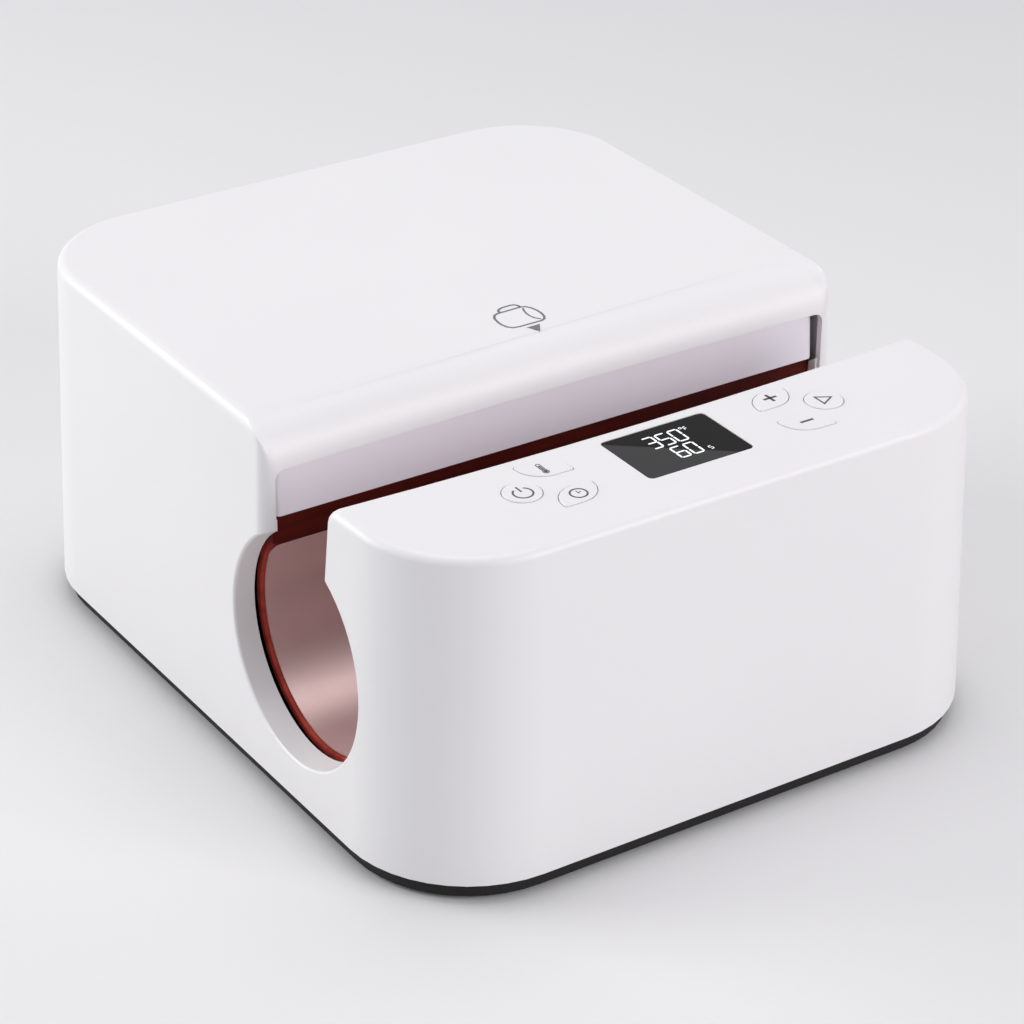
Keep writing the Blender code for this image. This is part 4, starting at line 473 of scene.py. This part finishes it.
def streak_group():
    """Long streaks along X, as drawn silicone or brushed metal shows."""
    tree, given, result = start_group(
        "drawn_streaks",
        [("Colour", "Color"), ("Shade", "Color"), ("Stretch", "Vector"), ("Scale", "Float"),
         ("Roughness", "Float"), ("Gloss Change", "Float")],
        [("Colour", "Color"), ("Roughness", "Float"), ("Height", "Float")])
    place = add_node(tree, "ShaderNodeTexCoord").outputs["Object"]
    pull = add_node(tree, "ShaderNodeVectorMath", operation="MULTIPLY")
    tree.links.new(place, pull.inputs[0])
    tree.links.new(given.outputs["Stretch"], pull.inputs[1])
    streak = add_node(tree, "ShaderNodeTexNoise")
    streak.inputs["Detail"].default_value = 4.0
    tree.links.new(pull.outputs[0], streak.inputs["Vector"])
    tree.links.new(given.outputs["Scale"], streak.inputs["Scale"])
    mix = add_node(tree, "ShaderNodeMix", data_type="RGBA")
    sharp = add_node(tree, "ShaderNodeMapRange")
    sharp.inputs["From Min"].default_value = 0.30
    sharp.inputs["From Max"].default_value = 0.70
    tree.links.new(streak.outputs["Fac"], sharp.inputs["Value"])
    tree.links.new(sharp.outputs["Result"], mix.inputs["Factor"])
    tree.links.new(given.outputs["Shade"], mix.inputs[6])
    tree.links.new(given.outputs["Colour"], mix.inputs[7])
    centred = maths(tree, "SUBTRACT", streak.outputs["Fac"], 0.5)
    change = maths(tree, "MULTIPLY", centred, given.outputs["Gloss Change"])
    tree.links.new(mix.outputs[2], result.inputs["Colour"])
    tree.links.new(maths(tree, "ADD", given.outputs["Roughness"], change),
                   result.inputs["Roughness"])
    tree.links.new(streak.outputs["Fac"], result.inputs["Height"])
    return tree


drawn_streaks = streak_group()


def streaked(name, colour, shade, roughness, metallic=0.0, stretch=(0.15, 1.0, 1.0), scale=160.0,
             bump=0.01 * MM, gloss_change=0.2):
    """A streaked finish: drawn silicone, rolled sheet or turned metal."""
    material, tree, shader = new_material(name)
    place_group(tree, drawn_streaks, shader, bump, Colour=colour, Shade=shade, Stretch=stretch,
                Scale=scale, Roughness=roughness, Gloss_Change=gloss_change)
    shader.inputs["Metallic"].default_value = metallic
    return material


def lower_specular(material, level):
    """Dull a finish's clear reflection."""
    material.node_tree.nodes["Principled BSDF"].inputs["Specular IOR Level"].default_value = level


silicone = streaked("red_silicone", MAT_RED, MAT_DARK, 0.60, scale=120.0, bump=0.03 * MM)
lower_specular(silicone, 0.08)


def paint_flap_shade(material):
    """Darken the silicone above the lip with painted shade, for the flap that lies shaded in the slot.
    """
    tree = material.node_tree
    shader = tree.nodes["Principled BSDF"]
    source = shader.inputs["Base Color"].links[0].from_socket
    split = add_node(tree, "ShaderNodeSeparateXYZ")
    tree.links.new(add_node(tree, "ShaderNodeTexCoord").outputs["Object"], split.inputs[0])
    rise = add_node(tree, "ShaderNodeMapRange")
    rise.inputs["From Min"].default_value = FLAP_HEIGHT - FLAP_BLEND
    rise.inputs["From Max"].default_value = FLAP_HEIGHT + FLAP_BLEND
    tree.links.new(split.outputs["Z"], rise.inputs["Value"])
    flap_shade_mix = add_node(tree, "ShaderNodeMix", data_type="RGBA", blend_type="MULTIPLY")
    tree.links.new(rise.outputs["Result"], flap_shade_mix.inputs["Factor"])
    tree.links.new(source, flap_shade_mix.inputs[6])
    flap_shade_mix.inputs[7].default_value = FLAP_PAINTED_SHADE
    tree.links.new(flap_shade_mix.outputs[2], shader.inputs["Base Color"])


# Painted shade on the flap above the lip.
paint_flap_shade(silicone)
for half in ("rear", "front"):
    dress(f"{half}_heating_mat", silicone, split=40.0)

# Facing sheets: glass cloth with a rose-grey non-stick coating, which the mug touches.
# Its plain weave stays visible as a fine grid.
AXIS_Y = -71.3 * MM
AXIS_Z = 73.6 * MM
FACING_RADIUS = 46.1 * MM
WEAVE_PITCH = 0.9 * MM
ROSE = (0.740, 0.545, 0.535)
ROSE_SHADE = (0.660, 0.475, 0.465)


def coated_cloth():
    """Woven glass cloth: threads along the mug and around it, under a rose coating."""
    material, tree, shader = new_material("rose_coated_cloth")
    place_group(tree, moulded_grain, shader, 0.02 * MM, Colour=ROSE, Shade=ROSE_SHADE,
                Grain=1500.0, Drift=25.0, Roughness=0.36, Gloss_Change=0.10)
    shader.inputs["Metallic"].default_value = 0.7
    relief = shader.inputs["Normal"].links[0].from_node
    place = add_node(tree, "ShaderNodeTexCoord").outputs["Object"]
    split = add_node(tree, "ShaderNodeSeparateXYZ")
    tree.links.new(place, split.inputs[0])
    back = maths(tree, "SUBTRACT", split.outputs["Y"], AXIS_Y)
    up = maths(tree, "SUBTRACT", split.outputs["Z"], AXIS_Z)
    around = maths(tree, "MULTIPLY", maths(tree, "ARCTAN2", up, back), FACING_RADIUS)
    waves = []
    for source in (split.outputs["X"], around):
        turns = maths(tree, "MULTIPLY", source, 2.0 * math.pi / WEAVE_PITCH)
        waves.append(maths(tree, "SINE", turns))
    threads = maths(tree, "MULTIPLY", waves[0], waves[1])
    tree.links.new(threads, relief.inputs["Height"])
    shader.inputs["Sheen Weight"].default_value = 0.35
    shader.inputs["Sheen Roughness"].default_value = 0.45
    shader.inputs["Sheen Tint"].default_value = (1.0, 0.90, 0.90, 1.0)
    return material


cloth = coated_cloth()
for half in ("rear", "front"):
    dress(f"{half}_facing_sheet", cloth)

# Spring bands and carriage frame: the bands are spring steel in black heat-proof enamel,
# and the saddle behind the rear one, an aluminium casting, is near-black as painted shade
# for the dark gap inside each mouth.
black_enamel = streaked("black_enamel", (0.022, 0.021, 0.021), (0.012, 0.012, 0.012), 0.55)
for half in ("rear", "front"):
    dress(f"{half}_band", black_enamel)
# Near-black as painted shade for the gap inside the mouth, over an aluminium casting.
dark_saddle = moulding("dark_saddle", (0.030, 0.030, 0.031), (0.020, 0.020, 0.021), 0.60,
                        grain=1400.0,
                        bump=0.04 * MM)
dress("carriage_frame", dark_saddle)

# Base tray: black polypropylene, whose rim shows as a dark line under the housing, with
# four rubber feet let into it and four zinc-plated screws.
tray_moulding = moulding("tray_moulding", (0.014, 0.014, 0.014), (0.010, 0.010, 0.010), 0.60,
                         grain=1800.0,
                         bump=0.02 * MM)
lower_specular(tray_moulding, 0.25)
foot_rubber = moulding("foot_rubber", (0.014, 0.014, 0.014), (0.022, 0.022, 0.022), 0.80,
                       grain=1500.0,
                       bump=0.05 * MM)
zinc = streaked("zinc_plate", (0.52, 0.53, 0.55), (0.40, 0.41, 0.43), 0.34, metallic=1.0,
                stretch=(1.0, 1.0, 1.0), scale=220.0)
dress("base_tray", tray_moulding)
for end in ("front", "rear"):
    for side in ("left", "right"):
        dress(f"foot_{end}_{side}", foot_rubber)
        dress(f"base_screw_{end}_{side}", zinc)

# Brackets: bent from zinc-plated sheet steel, rolled along their length. They carry the
# front heater, the nut, the bushings and the motor.
rolled_steel = streaked("rolled_steel", (0.50, 0.51, 0.53), (0.41, 0.42, 0.44), 0.36, metallic=1.0,
                        stretch=(0.05, 1.0, 1.0), scale=400.0)
for node in ("front_bracket", "nut_bracket", "drive_bracket", "motor_bracket"):
    dress(node, rolled_steel)

# Guides and drive: ground steel rods, lead screw and shaft, sintered bronze bushings and
# a brass nut, an aluminium coupling and a plated bearing.
ground_steel = streaked("ground_steel", (0.58, 0.59, 0.61), (0.50, 0.51, 0.53), 0.20, metallic=1.0,
                        stretch=(1.0, 0.04, 1.0), scale=700.0)
bronze = moulding("sintered_bronze", (0.56, 0.38, 0.18), (0.46, 0.31, 0.15), 0.42, grain=3000.0,
                  bump=0.02 * MM, metallic=1.0)
brass = streaked("turned_brass", (0.66, 0.50, 0.22), (0.58, 0.43, 0.18), 0.26, metallic=1.0,
                 stretch=(0.05, 1.0, 0.05), scale=900.0)
turned_aluminium = streaked("turned_aluminium", (0.70, 0.71, 0.73), (0.60, 0.61, 0.63), 0.30,
                            metallic=1.0,
                            stretch=(0.05, 1.0, 0.05), scale=900.0)
for node in ("guide_rod_left", "guide_rod_right", "lead_screw", "motor_shaft", "screw_bearing"):
    dress(node, ground_steel)
for node in ("guide_bushing_left", "guide_bushing_right"):
    dress(node, bronze)
for node in ("carriage_nut", "pin_line", "pin_neutral", "pin_earth"):
    dress(node, brass)
for node in ("shaft_coupling", "heat_sink"):
    dress(node, turned_aluminium)

# Motor: a gearbox in blackened zinc and a motor can of plated steel, on one bracket.
gear_casting = moulding("gear_casting", (0.085, 0.085, 0.090), (0.060, 0.060, 0.064), 0.45,
                        grain=1200.0,
                        bump=0.03 * MM, metallic=1.0)
dress("gearbox", gear_casting)
dress("motor", zinc)

# Sensors: the probe and the thermal fuse lie against the rear band in dark sleeves, and
# the slotted light sensor on the drive bracket is black nylon.
sleeve = moulding("sensor_sleeve", (0.120, 0.118, 0.112), (0.085, 0.083, 0.080), 0.60, grain=2400.0,
                  bump=0.03 * MM)
nylon = moulding("black_nylon", (0.018, 0.018, 0.019), (0.026, 0.026, 0.027), 0.52, grain=2600.0,
                 bump=0.02 * MM)
for node in ("temperature_probe", "thermal_fuse", "display_module"):
    dress(node, sleeve)
dress("position_sensor", nylon)
for key in KEYS:
    dress(f"switch_{key}", nylon)

# Boards: glass-epoxy laminate under green lacquer, with copper tracks that show through
# as paler lines. The transformer's laminations lie on edge.
BOARD_GREEN = (0.010, 0.085, 0.035)
BOARD_SHADE = (0.008, 0.060, 0.026)
TRACK_GREEN = (0.045, 0.190, 0.080, 1.0)


def board_finish():
    """Green solder mask over tracks on a square grid."""
    material, tree, shader = new_material("circuit_board")
    place_group(tree, moulded_grain, shader, 0.02 * MM, Colour=BOARD_GREEN,
                Shade=BOARD_SHADE, Grain=1500.0, Drift=60.0, Roughness=0.34, Gloss_Change=0.10)
    made = shader.inputs["Base Color"].links[0].from_node
    tracks = add_node(tree, "ShaderNodeTexBrick")
    tracks.inputs["Color1"].default_value = (0.0, 0.0, 0.0, 1.0)
    tracks.inputs["Color2"].default_value = (0.0, 0.0, 0.0, 1.0)
    tracks.inputs["Mortar"].default_value = (1.0, 1.0, 1.0, 1.0)
    tracks.inputs["Scale"].default_value = 90.0
    tracks.inputs["Mortar Size"].default_value = 0.03
    place = add_node(tree, "ShaderNodeTexCoord").outputs["Object"]
    tree.links.new(place, tracks.inputs["Vector"])
    mix = add_node(tree, "ShaderNodeMix", data_type="RGBA")
    mix.inputs[7].default_value = TRACK_GREEN
    tree.links.new(tracks.outputs["Color"], mix.inputs["Factor"])
    tree.links.new(made.outputs["Colour"], mix.inputs[6])
    tree.links.new(mix.outputs[2], shader.inputs["Base Color"])
    return material


green_board = board_finish()
for node in ("control_board", "power_board"):
    dress(node, green_board)
laminations = streaked("laminations", (0.110, 0.105, 0.100), (0.045, 0.043, 0.042), 0.45,
                       metallic=1.0,
                       stretch=(1.0, 0.03, 0.03), scale=500.0)
dress("transformer", laminations)

# Mains inlet: a three-pin socket moulded in black nylon, let into the back wall.
dress("mains_inlet", nylon)

# Studio: a plain pale floor, a soft sky that the camera sees as white, and three large
# soft lights, over the press, to its left and in front of it to the right.
PAPER = (0.80, 0.80, 0.80)
PAPER_SHADE = (0.78, 0.78, 0.78)
FLOOR_HALF = 6.0
SKY = (0.93, 0.94, 1.0, 1.0)
SKY_STRENGTH = 0.42
BACKDROP = (0.93, 0.93, 0.93, 1.0)
LAMP_AIM = (0.0, 0.0, 0.07)
LAMPS = (("overhead", (0.1, 0.1, 1.8), 1.4, 12.0, (1.0, 0.985, 0.99)),
         ("left", (-1.5, 1.3, 0.8), 1.2, 24.0, (1.0, 0.99, 0.99)),
         ("front_right", (0.9, -2.0, 0.85), 1.2, 22.5, (1.0, 0.955, 0.975)))


def floor_finish():
    """Pale seamless paper."""
    material, tree, shader = new_material("studio_floor")
    place_group(tree, moulded_grain, shader, 0.05 * MM, Colour=PAPER, Shade=PAPER_SHADE,
                Grain=300.0, Drift=2.0, Roughness=0.85, Gloss_Change=0.05)
    return material


bm = bmesh.new()
bmesh.ops.create_grid(bm, x_segments=8, y_segments=8, size=FLOOR_HALF)
floor_mesh = bpy.data.meshes.new("studio_floor")
bm.to_mesh(floor_mesh)
bm.free()
floor_mesh.materials.append(floor_finish())
floor = bpy.data.objects.new("studio_floor", floor_mesh)
bpy.context.scene.collection.objects.link(floor)

world = bpy.data.worlds.new("studio")
world.use_nodes = True
sky = world.node_tree.nodes["Background"]
sky.inputs["Color"].default_value = SKY
sky.inputs["Strength"].default_value = SKY_STRENGTH
seen = add_node(world.node_tree, "ShaderNodeBackground")
seen.inputs["Color"].default_value = BACKDROP
rays = add_node(world.node_tree, "ShaderNodeLightPath")
pick = add_node(world.node_tree, "ShaderNodeMixShader")
mirrored = maths(world.node_tree, "MAXIMUM", rays.outputs["Is Glossy Ray"],
                 rays.outputs["Is Transmission Ray"])
shown = maths(world.node_tree, "MAXIMUM", rays.outputs["Is Camera Ray"], mirrored)
world.node_tree.links.new(shown, pick.inputs[0])
world.node_tree.links.new(sky.outputs[0], pick.inputs[1])
world.node_tree.links.new(seen.outputs[0], pick.inputs[2])
world.node_tree.links.new(pick.outputs[0], world.node_tree.nodes["World Output"].inputs[0])
bpy.context.scene.world = world


for name, spot, width, watts, colour in LAMPS:
    lamp = bpy.data.lights.new(name, "AREA")
    lamp.shape = "RECTANGLE"
    lamp.size = width
    lamp.size_y = width
    lamp.energy = watts
    lamp.color = colour
    stand = bpy.data.objects.new(name, lamp)
    bpy.context.scene.collection.objects.link(stand)
    stand.location = spot
    stand.rotation_euler = (Vector(LAMP_AIM) - Vector(spot)).to_track_quat("-Z", "Y").to_euler()

# Camera: a long lens from the front left, above the press.
CAMERA_TURN = -33.508
CAMERA_TILT = 28.934
CAMERA_ROLL = 0.524
CAMERA_AIM = (0.7964, -9.5447, 65.0531)
CAMERA_DISTANCE = 1411.947
CAMERA_LENS = 117.77
CAMERA_SENSOR = 36.0
turn = math.radians(CAMERA_TURN)
tilt = math.radians(CAMERA_TILT)
roll = math.radians(CAMERA_ROLL)
toward = Vector((math.sin(turn) * math.cos(tilt), -math.cos(turn) * math.cos(tilt), math.sin(tilt)))
across = Vector((math.cos(turn), math.sin(turn), 0.0))
upward = toward.cross(across)
right = across * math.cos(roll) + upward * math.sin(roll)
top = -across * math.sin(roll) + upward * math.cos(roll)
camera_data = bpy.data.cameras.new("camera")
camera_data.lens = CAMERA_LENS
camera_data.sensor_width = CAMERA_SENSOR
camera = bpy.data.objects.new("camera", camera_data)
bpy.context.scene.collection.objects.link(camera)
place = Matrix((right, top, toward)).transposed().to_4x4()
place.translation = Vector(CAMERA_AIM) * MM + toward * CAMERA_DISTANCE * MM
camera.matrix_world = place
bpy.context.scene.camera = camera
bpy.context.scene.view_settings.view_transform = "Standard"
